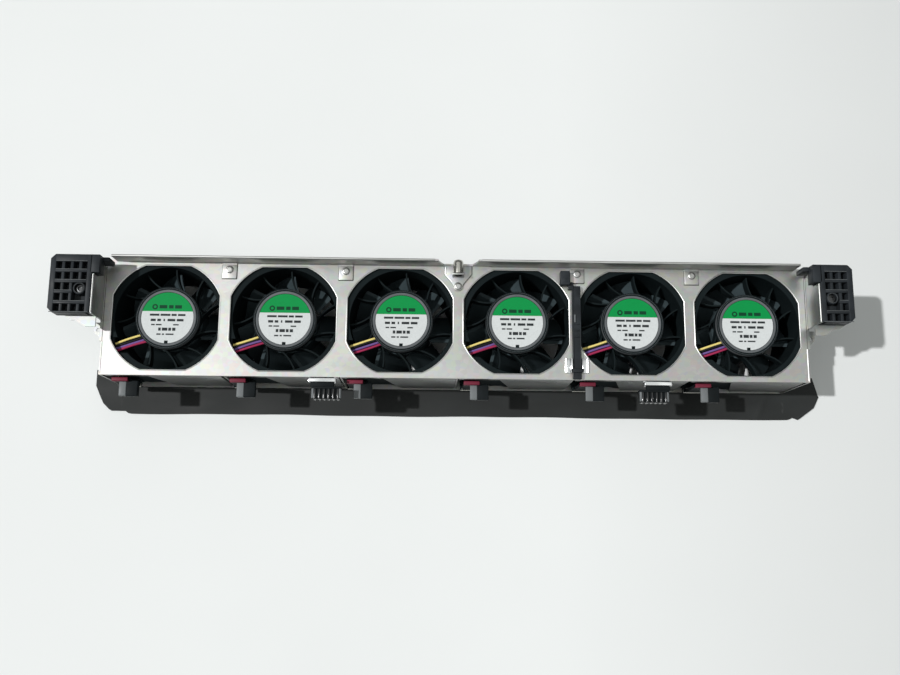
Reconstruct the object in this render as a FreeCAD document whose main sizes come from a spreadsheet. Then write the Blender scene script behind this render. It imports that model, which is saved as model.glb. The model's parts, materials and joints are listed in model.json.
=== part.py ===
"""Fan module of a rack server: six plug-in fans in a sheet-steel cage, in millimetres.

X runs along the row of fans, Z is the direction of the air, and the fans are pulled out
towards -Y. The cage lies on its intake side, so the exhaust plate is on top. The origin
is under the middle of the row, on the fan axes' plane, where the intake plate rests.
"""
import FreeCAD, Part
import Sketcher
import os

FAN_COUNT = 6
VANES = 11
BLADES = 7
BLADE_TILT = 38
WIRE_LEAN = 19

SIZES = [
    ("fan_size", 60, "square frame of a fan"),
    ("fan_depth", 38, "depth of the square frame"),
    ("corner_reach", 11, "how far the frame's corners reach beyond its sides"),
    ("bore_wall", 1.5, "wall between the fan's bore and its side"),
    ("sheet_thick", 1, "steel sheet of the cage"),
    ("cage_depth", 46, "intake face to exhaust face"),
    ("side_gap", 1.5, "side of a centred fan to the divider beside it"),
    ("fan_shift", 0.9, "bay's middle to the fan's axis"),
    ("end_gap", 2.7, "side of a centred fan to the end wall"),
    ("rear_gap", 1, "fan to the rear pan, and to the cage's open front"),
    ("slide_gap", 0.5, "running gap above and below a fan module"),
    ("port_size", 58, "square air port"),
    ("port_shift", 0.3, "bay's middle to the air port's middle"),
    ("port_corner", 2.5, "port's side to the circle that cuts its corners"),
    ("hub_dia", 34.4, "motor base in the middle of the outlet"),
    ("hub_thick", 7, "thickness of the motor base"),
    ("rotor_dia", 33.6, "cup that carries the blades"),
    ("rotor_wall", 1.5, "wall of the cup"),
    ("rotor_length", 24, "length of the cup"),
    ("rotor_gap", 5.5, "motor base to the cup"),
    ("blade_gap", 0.6, "blade tip to the bore"),
    ("blade_margin", 1, "blade to each end of the cup"),
    ("blade_thick", 1.4, "thickness of a blade"),
    ("blade_length", 29, "length of a blade before it is trimmed"),
    ("vane_radius", 22, "radius that an outlet vane is bent to"),
    ("vane_bend", 7.5, "bore to the middle of a vane's bend, outwards"),
    ("vane_drop", 10.3, "fan axis to the middle of a vane's bend, downwards"),
    ("vane_sweep", 12, "height of the window that a vane stays in"),
    ("vane_thick", 0.8, "thickness of an outlet vane"),
    ("vane_depth", 6, "depth of an outlet vane"),
    ("vane_sink", 5.5, "outlet face to the vanes"),
    ("shaft_dia", 3, "motor shaft"),
    ("shaft_gap", 0.1, "shaft to the bearing's bore"),
    ("bearing_dia", 8, "outside of a ball bearing"),
    ("bearing_width", 3, "width of a ball bearing"),
    ("tube_wall", 1, "wall of the bearing tube"),
    ("tube_length", 24, "length of the bearing tube"),
    ("stator_length", 13, "stack of the stator"),
    ("stator_gap", 2, "stator to the cup's wall"),
    ("board_thick", 1.4, "motor board"),
    ("label_dia", 28.4, "round label on the hub"),
    ("label_thick", 0.2, "thickness of the label"),
    ("label_sink", 0.3, "depth of the label's seat"),
    ("label_notch", 2, "width of the label's notch"),
    ("wire_dia", 1.3, "insulated wire"),
    ("wire_pitch", 1.45, "distance between two wires"),
    ("wire_sink", 3.4, "outlet face to the wires"),
    ("wire_top", 8.2, "fan axis down to the first wire, at the hub"),
    ("wire_slot_depth", 6.6, "how far the wires reach into the hub"),
    ("plug_thick", 1.2, "connector strip in the frame's corner"),
    ("plug_width", 8.6, "length of the connector strip"),
    ("plug_height", 7, "height of the connector strip"),
    ("plug_place", 11.2, "fan axis down to the connector strip"),
    ("plug_wall", 0.8, "frame left outside the connector"),
    ("cap_thick", 0.8, "steel cap on the front of a fan"),
    ("cap_left", 9.6, "fan axis to the top of the cap's slanted end"),
    ("cap_slant", 8.5, "lean of the cap's end"),
    ("cap_strip", 2.5, "strip along the cap's top, across the whole bay"),
    ("cap_leg_place", 24, "fan axis to the cap's right leg"),
    ("cap_leg_inset", 3, "cap's edge to its legs"),
    ("cap_margin", 2, "cap to the module's top and bottom"),
    ("cap_leg", 1.2, "stand-off of the cap from the frame"),
    ("latch_width", 8.8, "latch arm"),
    ("latch_place", 24.9, "fan axis to the latch's middle"),
    ("latch_thick", 2, "thickness of the latch arm"),
    ("latch_gap", 1.3, "lug plate to the latch arm"),
    ("latch_pivot", 18, "height of the latch's pin above the intake face"),
    ("latch_reach", 22.5, "pin to the top of the latch arm"),
    ("pivot_dia", 2.4, "latch pin"),
    ("pivot_gap", 0.15, "latch pin to its lug"),
    ("lug_thick", 1, "lug of the latch pin"),
    ("lug_side_gap", 0.25, "latch arm to the lug"),
    ("lever_length", 7.9, "finger lever, out from the latch arm"),
    ("lever_width", 4, "width of the finger lever"),
    ("lever_offset", 1.2, "latch's middle to the lever's middle"),
    ("lever_thick", 2.5, "thickness of the finger lever"),
    ("lever_drop", 2.5, "arm's top to the finger lever"),
    ("stop_width", 6.2, "block beside the finger lever"),
    ("stop_length", 8, "block beside the finger lever, out from the arm"),
    ("stop_thick", 4, "thickness of the block beside the finger lever"),
    ("lip_height", 11, "rear pan's lip above the exhaust face"),
    ("lip_short", 5.8, "cage end to the lip's end"),
    ("port_width", 24, "connector port in the rear pan"),
    ("port_height", 14, "connector port in the rear pan"),
    ("port_floor", 12, "intake face to the connector ports"),
    ("tab_width", 7.8, "riveted tab of the rear pan"),
    ("tab_length", 8, "riveted tab of the rear pan"),
    ("tab_offset", 2, "divider to the tab's middle"),
    ("tab_thick", 0.8, "thickness of a tab"),
    ("rivet_dia", 3, "shank of a rivet"),
    ("rivet_head", 4.2, "head of a rivet"),
    ("rivet_rise", 0.8, "height of a rivet's head"),
    ("rivet_gap", 0.1, "rivet shank to its hole"),
    ("notch_width", 22, "notch in the lip for the guide pin"),
    ("notch_chamfer", 3, "slanted sides of the notch"),
    ("bracket_top", 15.4, "pin bracket, wide end"),
    ("bracket_tip", 6.7, "pin bracket, narrow end"),
    ("bracket_length", 13.5, "pin bracket, from the pan"),
    ("bracket_thick", 1.2, "pin bracket"),
    ("lug_height", 8, "pin bracket's upright lug"),
    ("pin_dia", 5.6, "guide pin"),
    ("pin_length", 9, "guide pin"),
    ("pin_rise", 4, "pin bracket's face to the pin's axis"),
    ("pin_reach", 1.2, "pin's end beyond the rear pan"),
    ("block_left_width", 21.9, "left guide block"),
    ("block_right_width", 17.6, "right guide block"),
    ("block_height", 31.7, "guide block, along the bracket"),
    ("block_depth", 9, "guide block, face to shelf"),
    ("block_rise", 20, "guide block's face above the exhaust face"),
    ("block_top_gap", 2.6, "rear pan's outside to the block's top edge"),
    ("block_chamfer", 2.4, "outer corners of a guide block"),
    ("cell_wide", 2.9, "width of a cell in the guide block"),
    ("cell_tall", 3.9, "height of a cell in the guide block"),
    ("cell_deep", 6, "depth of a cell in the guide block"),
    ("cell_side", 2.5, "block's inner side to the first column of cells"),
    ("cell_top", 4, "block's top edge to the first row of cells"),
    ("cell_pitch_x", 4.5, "distance between two columns of cells"),
    ("cell_pitch_y", 5.75, "distance between two rows of cells"),
    ("block_screw", 3, "screw of a guide block"),
    ("screw_head", 4.8, "head of the block's screw"),
    ("screw_gap", 0.15, "screw to its hole"),
    ("screw_sink", 4, "block's face to the seat of the screw's head"),
    ("screw_rise", 1.8, "height of the screw's head"),
    ("screw_slot", 0.8, "width of the screw's drive slot"),
    ("boss_dia", 6.6, "boss around the block's screw"),
    ("hook_length", 7, "arm from the block to the plate's corner"),
    ("hook_thick", 2.4, "thickness of the arm"),
    ("hook_drop", 8, "arm's low end below the block's root"),
    ("root_height", 9.8, "block's root over the end bracket's upright"),
    ("root_rise", 12, "exhaust face to the underside of the block's root"),
    ("wing_rise", 19, "end bracket's upright above the exhaust face"),
    ("wing_top_gap", 1.5, "block's top edge to the end bracket's upright"),
    ("shelf_reach", 17.4, "end bracket's shelf, out from its wall"),
    ("shelf_drop", 5.6, "block's low edge to the shelf's low edge"),
    ("wing_drop", 43, "end bracket's height along Y"),
    ("ear_reach", 5.2, "mounting ear, out from the end bracket's wall"),
    ("ear_height", 10.5, "mounting ear along Y"),
    ("ear_rise", 40, "intake face to the mounting ear"),
    ("mount_hole", 2.4, "mounting hole in the ear"),
    ("flap_thick", 1.2, "air seal flap"),
    ("flap_reach", 16, "flap beyond the front of the cage"),
    ("flap_over_left", 15.5, "flap beyond the left end"),
    ("flap_over_right", 21.7, "flap beyond the right end"),
    ("flap_tail", 9.5, "how far the flap's ends reach back beside the cage"),
    ("flap_chamfer", 9.2, "slanted ends of the flap"),
    ("flap_step", 1.5, "step in the flap's front edge near its ends"),
    ("clip_width", 15, "button's steel clip"),
    ("clip_depth", 2.3, "button's steel clip, front to back"),
    ("clip_front", 3.3, "clip beyond the front of the cage"),
    ("clip_height", 5, "button's steel clip"),
    ("clip_thick", 0.8, "sheet of the clip"),
    ("button_width", 16, "button"),
    ("button_length", 7.2, "head of a button"),
    ("button_shift", 2.6, "clip's middle to the button's middle, inwards"),
    ("button_lift", 0.2, "plate's underside to a button's head"),
    ("button_height", 5.8, "head of a button"),
    ("button_travel", 2.2, "how far a button is pressed"),
    ("button_gap", 0.3, "button to its clip"),
    ("button_left", -73, "place of the left button along the row"),
    ("button_right", 109, "place of the right button along the row"),
    ("groove_wide", 0.9, "groove between a button's ribs"),
    ("groove_deep", 0.8, "groove between a button's ribs"),
    ("groove_pitch", 2.5, "distance between two grooves"),
    ("bar_width", 4.8, "cable guide bar"),
    ("bar_height", 3, "cable guide bar"),
    ("bar_offset", 1.2, "divider to the bar's middle"),
    ("bar_top", 20, "fan axis to the bar's top end"),
    ("bar_gap", 0.2, "bar to the strap over it"),
    ("bar_block_wide", 5.4, "block at the bar's top end"),
    ("bar_block_tall", 8, "block at the bar's top end"),
    ("bar_block_rise", 2, "bar's face to the block's top"),
    ("bar_block_gap", 0.4, "block to the riveted tab beside it"),
    ("bar_neck", 2, "half the height of the neck between bar and block"),
    ("ridge_pitch", 3.5, "distance between two ridges on the bar"),
    ("ridge_wide", 0.8, "ridge on the bar"),
    ("strap_length", 8, "steel strap over the bar"),
    ("strap_margin", 3.5, "strap's end to the front of the cage"),
    ("strap_foot", 3.2, "foot of the strap beside the bar"),
]

doc = FreeCAD.newDocument("FanModule")


class Size:
    """A length together with the sheet expression that gives it."""

    def __init__(self, value, text):
        self.value = float(value)
        self.text = text

    def __add__(self, other):
        other = size(other)
        return Size(self.value + other.value, f"({self.text} + {other.text})")

    def __sub__(self, other):
        other = size(other)
        return Size(self.value - other.value, f"({self.text} - {other.text})")

    def __mul__(self, other):
        other = size(other)
        return Size(self.value * other.value, f"({self.text} * {other.text})")

    def __truediv__(self, other):
        other = size(other)
        return Size(self.value / other.value, f"({self.text} / {other.text})")

    def __neg__(self):
        return size(0) - self

    def __radd__(self, other):
        return size(other) + self

    def __rsub__(self, other):
        return size(other) - self

    def __rmul__(self, other):
        return size(other) * self


def size(value):
    """Any number as a Size."""
    if isinstance(value, Size):
        return value
    return Size(value, f"({float(value)})")


def fill_sheet():
    sheet = doc.addObject("Spreadsheet::Sheet", "Sizes")
    for row, (alias, value, note) in enumerate(SIZES, 1):
        sheet.set(f"A{row}", alias)
        sheet.set(f"B{row}", str(value))
        sheet.set(f"C{row}", note)
        sheet.setAlias(f"B{row}", alias)
    doc.recompute()
    return sheet


class Named:
    """Reads the sheet's cells by their names."""

    def __getattr__(self, alias):
        return Size(sheet.get(alias), f"Sizes.{alias}")


sheet = fill_sheet()
d = Named()


# --- helpers: every size and place is bound to the sheet -------------------------------

def bind(thing, path, value):
    thing.setExpression(path, size(value).text)


def place(thing, spot, turn=None):
    """Puts a thing at a spot, turned by (axis, degrees)."""
    spot = [size(value) for value in spot]
    base = FreeCAD.Vector(*[value.value for value in spot])
    rotation = FreeCAD.Rotation()
    if turn:
        rotation = FreeCAD.Rotation(FreeCAD.Vector(*turn[0]), turn[1])
    thing.Placement = FreeCAD.Placement(base, rotation)
    for letter, value in zip("xyz", spot):
        bind(thing, f"Placement.Base.{letter}", value)
    return thing


def box(name, x, y, z):
    """A box between two limits in each direction."""
    thing = doc.addObject("Part::Box", name)
    for prop, (low, high) in zip(("Length", "Width", "Height"), (x, y, z)):
        bind(thing, prop, size(high) - low)
    return place(thing, (x[0], y[0], z[0]))


TURNS = {"X": ((0, 1, 0), 90), "Y": ((1, 0, 0), -90), "Z": None}


def rod(name, spot, diameter, length, along="Z"):
    """A cylinder that starts at a spot and runs along an axis."""
    thing = doc.addObject("Part::Cylinder", name)
    bind(thing, "Radius", size(diameter) / 2)
    bind(thing, "Height", length)
    return place(thing, spot, TURNS[along])


def cone(name, spot, diameter, end_diameter, length, along="Z"):
    thing = doc.addObject("Part::Cone", name)
    bind(thing, "Radius1", size(diameter) / 2)
    bind(thing, "Radius2", size(end_diameter) / 2)
    bind(thing, "Height", length)
    return place(thing, spot, TURNS[along])


def join(name, *parts):
    thing = doc.addObject("Part::MultiFuse", name)
    thing.Shapes = list(parts)
    return thing


def group(name, *parts):
    thing = doc.addObject("Part::Compound", name)
    thing.Links = list(parts)
    return thing


def cut(name, base, *tools):
    thing = doc.addObject("Part::Cut", name)
    thing.Base = base
    thing.Tool = tools[0] if len(tools) == 1 else group(name + "_tools", *tools)
    return thing


def common(name, base, tool):
    thing = doc.addObject("Part::Common", name)
    thing.Base = base
    thing.Tool = tool
    return thing


def ring(name, spot, outside, inside, length):
    wall = rod(name + "_outside", spot, outside, length)
    hole = rod(name + "_inside", spot, inside, length)
    return cut(name, wall, hole)


def copy(name, master, spot, turn=None):
    """A repeat of a master at another place."""
    return place(group(name, master), spot, turn)


ORIGIN_PLANES = {"XY": "XY_Plane", "XZ": "XZ_Plane", "YZ": "YZ_Plane"}


def prism(name, plane, points, thickness):
    """A body padded from a closed outline whose corners are bound to the sheet.

    It rises along +Z from the XY plane, along -Y from XZ and along +X from YZ.
    """
    body = doc.addObject("PartDesign::Body", name)
    sketch = body.newObject("Sketcher::SketchObject", name + "_outline")
    role = ORIGIN_PLANES[plane]
    base = [item for item in body.Origin.OriginFeatures if item.Role == role][0]
    sketch.AttachmentSupport = [(base, "")]
    sketch.MapMode = "FlatFace"
    corners = [(size(across), size(up)) for across, up in points]
    vectors = [FreeCAD.Vector(across.value, up.value, 0) for across, up in corners]
    for index, start in enumerate(vectors):
        end = vectors[(index + 1) % len(vectors)]
        sketch.addGeometry(Part.LineSegment(start, end), False)
    for index in range(len(vectors)):
        follow = (index + 1) % len(vectors)
        sketch.addConstraint(Sketcher.Constraint("Coincident", index, 2, follow, 1))
    for index, corner in enumerate(corners):
        for kind, value in zip(("DistanceX", "DistanceY"), corner):
            number = sketch.addConstraint(
                Sketcher.Constraint(kind, -1, 1, index, 1, value.value))
            bind(sketch, f"Constraints[{number}]", value)
    pad = body.newObject("PartDesign::Pad", name + "_pad")
    pad.Profile = sketch
    bind(pad, "Length", thickness)
    return body


def finish(thing, name):
    """Gives a sub-part its own label, which names its file."""
    thing.Label = name
    nodes.append(thing)
    return thing


def bay_place(bay):
    """Middle of a bay, counted from 1 on the left."""
    return bay_pitch * (bay - (FAN_COUNT + 1) / 2)


def divider_place(bay):
    """Divider on the right of a bay."""
    return bay_pitch * (bay - FAN_COUNT / 2)


nodes = []
BAYS = range(1, FAN_COUNT + 1)
DIVIDERS = range(1, FAN_COUNT)
TAB_DIVIDERS = (1, 2, 4, 5)

# --- levels that several pieces share --------------------------------------------------

bay_pitch = d.fan_size + d.side_gap * 2 + d.sheet_thick
fan_bore = d.fan_size - d.bore_wall * 2
cage_half = d.fan_size / 2 + d.rear_gap + d.sheet_thick
exhaust_face = d.cage_depth
plate_under = d.cage_depth - d.sheet_thick
module_low = d.sheet_thick + d.slide_gap
module_top = plate_under - d.slide_gap
frame_low = module_top - d.fan_depth
frame_front = -(d.fan_size / 2)
cage_end = bay_place(FAN_COUNT) + d.fan_size / 2 + d.end_gap + d.sheet_thick
pan_inside = cage_half - d.sheet_thick
hub_low = module_top - d.hub_thick
rotor_top = hub_low - d.rotor_gap
rotor_low = rotor_top - d.rotor_length


# --- the cage ---------------------------------------------------------------------------

def air_port(name, low, high):
    """A square port whose corners follow a circle."""
    half = d.port_size / 2
    square = box(name + "_square", (-half, half), (-half, half), (low, high))
    circle = rod(name + "_circle", (0, 0, low), (half + d.port_corner) * 2, size(high) - low)
    return common(name, square, circle)


def rivet_places():
    """Centre of each rivet on the exhaust face: four tabs, then the pin bracket."""
    middle = pan_inside - d.tab_length / 2
    places = [(divider_place(bay) + d.tab_offset, middle) for bay in TAB_DIVIDERS]
    tip = pan_inside - d.bracket_length + d.bracket_tip / 2
    return places + [(size(0), tip - d.bracket_tip / 4)]


def make_exhaust_plate():
    left, right = -cage_end, cage_end
    sheet_top = box("exhaust_sheet", (left, right), (-cage_half, pan_inside),
                    (plate_under, exhaust_face))
    wall = d.sheet_thick
    left_wall = box("left_wall", (left, left + wall), (-cage_half, pan_inside),
                    (wall, exhaust_face))
    right_wall = box("right_wall", (right - wall, right), (-cage_half, pan_inside),
                     (wall, exhaust_face))
    port = air_port("exhaust_port", plate_under - 1, exhaust_face + 1)
    ports = [copy(f"exhaust_port_{bay}", port, (bay_place(bay) + d.port_shift, 0, 0))
             for bay in BAYS]
    holes = [rod(f"plate_rivet_hole_{number}", (x, y, plate_under - 1),
                 d.rivet_dia + d.rivet_gap * 2, wall + 2)
             for number, (x, y) in enumerate(rivet_places(), 1)]
    folded = join("exhaust_folded", sheet_top, left_wall, right_wall)
    finish(cut("exhaust_plate_body", folded, *ports, *holes), "exhaust_plate")


def make_intake_plate():
    sheet_low = box("intake_sheet", (-cage_end, cage_end), (-cage_half, pan_inside),
                    (0, d.sheet_thick))
    port = air_port("intake_port", -1, d.sheet_thick + 1)
    ports = [copy(f"intake_port_{bay}", port, (bay_place(bay) + d.port_shift, 0, 0))
             for bay in BAYS]
    finish(cut("intake_plate_body", sheet_low, *ports), "intake_plate")


def make_rear_pan():
    """Rear wall with connector ports, its lip above the plate, and the riveted tabs."""
    lip_top = exhaust_face + d.lip_height
    wall_y = (pan_inside, cage_half)
    wall = box("pan_wall", (-cage_end, cage_end), wall_y, (0, exhaust_face))
    lip_end = cage_end - d.lip_short
    lip = box("pan_lip", (-lip_end, lip_end), wall_y, (exhaust_face, lip_top))
    tabs = []
    tab_low = exhaust_face
    for bay in TAB_DIVIDERS:
        middle = divider_place(bay) + d.tab_offset
        half = d.tab_width / 2
        tabs.append(box(f"pan_tab_{bay}", (middle - half, middle + half),
                        (pan_inside - d.tab_length, pan_inside),
                        (tab_low, tab_low + d.tab_thick)))
    folded = join("pan_folded", wall, lip, *tabs)
    ports = []
    for bay in BAYS:
        half = d.port_width / 2
        ports.append(box(f"pan_port_{bay}", (bay_place(bay) - half, bay_place(bay) + half),
                         (pan_inside - 1, cage_half + 1),
                         (d.port_floor, d.port_floor + d.port_height)))
    half = d.notch_width / 2
    deep = d.lip_height - d.notch_chamfer
    notch = prism("pan_notch", "XZ",
                  [(-half, lip_top + 1), (-half, exhaust_face + deep),
                   (-half + d.notch_chamfer, exhaust_face + 1),
                   (half - d.notch_chamfer, exhaust_face + 1),
                   (half, exhaust_face + deep), (half, lip_top + 1)],
                  d.sheet_thick + 2)
    place(notch, (0, cage_half + 1, 0))
    holes = [rod(f"tab_rivet_hole_{number}", (x, y, exhaust_face - 1),
                 d.rivet_dia + d.rivet_gap * 2, d.tab_thick + 2)
             for number, (x, y) in enumerate(rivet_places()[:-1], 1)]
    finish(cut("rear_pan_body", folded, notch, *ports, *holes), "rear_pan")


def make_dividers():
    half = d.sheet_thick / 2
    walls = []
    for bay in DIVIDERS:
        middle = divider_place(bay)
        walls.append(box(f"divider_{bay}", (middle - half, middle + half),
                         (-pan_inside, pan_inside), (d.sheet_thick, plate_under)))
    finish(group("divider_set", *walls), "bay_dividers")


def rivet(name, x, y, seat):
    """Shank down to the plate's underside, and a low cone head on its seat."""
    shank = rod(name + "_shank", (x, y, plate_under), d.rivet_dia, seat - plate_under)
    head = cone(name + "_head", (x, y, seat), d.rivet_head, d.rivet_dia, d.rivet_rise)
    return join(name, shank, head)


def make_rivets():
    rivets = []
    for number, (x, y) in enumerate(rivet_places(), 1):
        on_bracket = number == len(rivet_places())
        layer = d.bracket_thick if on_bracket else d.tab_thick
        rivets.append(rivet(f"rivet_{number}", x, y, exhaust_face + layer))
    finish(group("rivet_set", *rivets), "rivets")


# --- the guide pin ----------------------------------------------------------------------

pin_face = exhaust_face + d.bracket_thick
pin_axis = pin_face + d.pin_rise
pin_end = cage_half + d.pin_reach


def make_pin_bracket():
    """Tapered plate under the notch, with an upright lug that holds the pin."""
    top, tip = d.bracket_top / 2, d.bracket_tip / 2
    far = pan_inside - d.bracket_length
    blade = prism("bracket_blade", "XY",
                  [(-top, pan_inside), (-top, pan_inside - 5), (-tip, far + tip),
                   (-tip / 2, far), (tip / 2, far), (tip, far + tip),
                   (top, pan_inside - 5), (top, pan_inside)], d.bracket_thick)
    place(blade, (0, 0, exhaust_face))
    lug_back = pin_end - d.pin_length
    lug = box("bracket_lug", (-tip, tip), (lug_back, lug_back + d.bracket_thick),
              (exhaust_face, pin_face + d.lug_height))
    folded = join("bracket_folded", blade, lug)
    x, y = rivet_places()[-1]
    hole = rod("bracket_rivet_hole", (x, y, exhaust_face - 1),
               d.rivet_dia + d.rivet_gap * 2, d.bracket_thick + 2)
    bore = rod("bracket_pin_hole", (0, lug_back - 1, pin_axis), d.pin_dia - 1,
               d.bracket_thick + 2, "Y")
    finish(cut("pin_bracket_body", folded, hole, bore), "pin_bracket")


def make_guide_pin():
    """Pin with a cone end, seated on the lug, with a stub riveted through it."""
    lug_front = pin_end - d.pin_length + d.bracket_thick
    point = d.pin_dia / 3
    stem = rod("pin_stem", (0, lug_front, pin_axis), d.pin_dia,
               pin_end - point - lug_front, "Y")
    end = cone("pin_point", (0, pin_end - point, pin_axis), d.pin_dia, d.pin_dia / 2,
               point, "Y")
    stub = rod("pin_stub", (0, lug_front - d.bracket_thick, pin_axis),
               d.pin_dia - 1 - d.rivet_gap, d.bracket_thick, "Y")
    finish(join("guide_pin_body", stem, end, stub), "guide_pin")


# --- the ends: steel brackets, guide blocks and their screws ------------------------------

block_top = cage_half - d.block_top_gap
block_low_y = block_top - d.block_height
block_face = exhaust_face + d.block_rise
block_back = block_face - d.block_depth
shelf_top = block_back
screw_x = (cage_end + d.sheet_thick + d.cell_side
           + (d.cell_pitch_x + d.cell_wide) / 2)
screw_y = block_top - d.cell_top - d.cell_pitch_y * 2.5


def mirrored(name, thing, side):
    """The thing itself on the right, its mirror image on the left."""
    if side == "right":
        return thing
    image = doc.addObject("Part::Mirroring", name)
    image.Source = thing
    image.Normal = (1, 0, 0)
    return image


BLOCKS = {"left": (d.block_left_width, 4), "right": (d.block_right_width, 3)}


def make_end_bracket(side):
    """Wall against the cage's end, with an upright, the block's shelf and an ear."""
    name = side + "_bracket"
    inner, outer = cage_end, cage_end + d.sheet_thick
    low = block_top - d.wing_drop
    wall = box(name + "_wall", (inner, outer), (low, block_top),
               (d.sheet_thick, exhaust_face))
    upright = box(name + "_upright", (inner, outer),
                  (block_low_y, block_top - d.wing_top_gap),
                  (exhaust_face, exhaust_face + d.wing_rise))
    root_room = box(name + "_root_room", (inner - 1, outer + 1),
                    (block_top - d.root_height - d.slide_gap, block_top + 1),
                    (exhaust_face + d.root_rise - d.slide_gap, block_face))
    reach, drop = d.shelf_reach, d.shelf_drop
    shelf = prism(name + "_shelf", "XY",
                  [(inner, block_top - d.wing_top_gap),
                   (outer + reach, block_top - d.wing_top_gap),
                   (outer + reach, block_low_y + drop / 4),
                   (outer + reach * 0.7, block_low_y - drop * 0.4),
                   (outer + reach * 0.58, block_low_y - drop * 0.4),
                   (outer + reach / 4, block_low_y - drop), (inner, block_low_y - drop)],
                  d.sheet_thick)
    place(shelf, (0, 0, shelf_top - d.sheet_thick))
    ear_low = block_low_y - d.ear_height
    ear = prism(name + "_ear", "XY",
                [(inner, block_low_y), (outer + d.ear_reach, block_low_y),
                 (outer + d.ear_reach, ear_low + d.ear_height / 2),
                 (outer + d.ear_reach / 2, ear_low + d.ear_height / 4),
                 (outer, ear_low), (inner, ear_low)], d.sheet_thick)
    place(ear, (0, 0, d.ear_rise - d.sheet_thick))
    folded = join(name + "_folded", wall, cut(name + "_notched", upright, root_room),
                  shelf, ear)
    screw = rod(name + "_screw_hole", (screw_x, screw_y, shelf_top - d.sheet_thick - 1),
                d.block_screw + d.screw_gap * 2, d.sheet_thick + 2)
    hole = rod(name + "_mount_hole", (outer + d.ear_reach / 2,
                                      block_low_y - d.ear_height * 0.4,
                                      d.ear_rise - d.sheet_thick - 1),
               d.mount_hole, d.sheet_thick + 2)
    finish(mirrored(name + "_image", cut(name + "_body", folded, screw, hole), side),
           side + "_end_bracket")


def make_guide_block(side):
    """Moulded block with rows of cells, a screw boss and an arm to the cage's corner."""
    name = side + "_block"
    width, columns = BLOCKS[side]
    inner = cage_end + d.sheet_thick
    outer = inner + width
    bevel = d.block_chamfer
    solid = prism(name + "_solid", "XY",
                  [(inner, block_low_y), (outer - bevel, block_low_y),
                   (outer, block_low_y + bevel), (outer, block_top - bevel),
                   (outer - bevel, block_top), (inner, block_top)], d.block_depth)
    place(solid, (0, 0, block_back))
    root_low = exhaust_face + d.root_rise
    hook_side = cage_end - d.slide_gap
    root = box(name + "_root", (hook_side - d.hook_thick, inner + 1),
               (block_top - d.root_height, block_top), (root_low, block_face))
    arm = box(name + "_arm", (inner - d.hook_length, hook_side),
              (block_top - d.hook_thick, block_top),
              (root_low - d.hook_drop, root_low + d.hook_thick))
    well_low = block_face - d.cell_deep
    first, top = inner + d.cell_side, block_top - d.cell_top
    cells = []
    for column in range(columns):
        for row in range(5):
            if column < 2 and row in (2, 3):
                continue
            left = first + d.cell_pitch_x * column
            high = top - d.cell_pitch_y * row
            cells.append(box(f"{name}_cell_{column}_{row}", (left, left + d.cell_wide),
                             (high - d.cell_tall, high), (well_low, block_face + 1)))
    well = box(name + "_well", (first, first + d.cell_pitch_x + d.cell_wide),
               (top - d.cell_pitch_y * 3 - d.cell_tall, top - d.cell_pitch_y * 2),
               (well_low, block_face + 1))
    hollow = cut(name + "_hollow", join(name + "_folded", solid, root, arm), well, *cells)
    boss = rod(name + "_boss", (screw_x, screw_y, well_low - 1), d.boss_dia, d.cell_deep)
    bored = join(name + "_bossed", hollow, boss)
    bore = rod(name + "_bore", (screw_x, screw_y, block_back - 1),
               d.block_screw + d.screw_gap * 2, d.block_depth + 2)
    sink = rod(name + "_sink", (screw_x, screw_y, block_face - d.screw_sink),
               d.screw_head + d.screw_gap * 2, d.screw_sink + 1)
    finish(mirrored(name + "_image", cut(name + "_body", bored, bore, sink), side),
           side + "_guide_block")


def make_block_screws():
    screws = []
    for side in ("left", "right"):
        x = screw_x if side == "right" else -screw_x
        low = shelf_top - d.sheet_thick
        seat = block_face - d.screw_sink
        shank = rod(side + "_screw_shank", (x, screw_y, low), d.block_screw, seat - low)
        head = rod(side + "_screw_head", (x, screw_y, seat), d.screw_head, d.screw_rise)
        drive = box(side + "_screw_drive",
                    (x - d.screw_slot / 2, x + d.screw_slot / 2),
                    (screw_y - d.screw_head, screw_y + d.screw_head),
                    (seat + d.screw_rise / 2, seat + d.screw_rise + 1))
        screws.append(cut(side + "_screw", join(side + "_screw_solid", shank, head), drive))
    finish(group("block_screw_set", *screws), "block_screws")


# --- air seal, buttons and cable guide ----------------------------------------------------

def make_flap():
    """Flexible strip along the front of the intake plate, wider than the cage."""
    back, front = -cage_half, -cage_half - d.flap_reach
    left, right = -cage_end - d.flap_over_left, cage_end + d.flap_over_right
    tail = back + d.flap_tail
    bevel, step = d.flap_chamfer, d.flap_step
    strip = prism("flap_strip", "XY",
                  [(left, tail), (left, back), (left + bevel / 2, front + bevel / 2 + step),
                   (left + bevel, front + step), (left + bevel * 2, front + step),
                   (left + bevel * 2 + step, front), (right - bevel * 2, front),
                   (right - bevel * 2 + step, front + step), (right - bevel * 1.4, front),
                   (right - bevel / 3, front + bevel * 0.8), (right, front + bevel * 1.5),
                   (right - bevel / 3, tail), (cage_end, tail), (cage_end, back),
                   (-cage_end, back), (-cage_end, tail)], d.flap_thick)
    finish(strip, "air_seal_flap")


clip_low = plate_under
clip_roof = clip_low + d.clip_height
clip_front = -cage_half - d.clip_front
BUTTONS = (("left", d.button_left, 1), ("right", d.button_right, -1))


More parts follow.
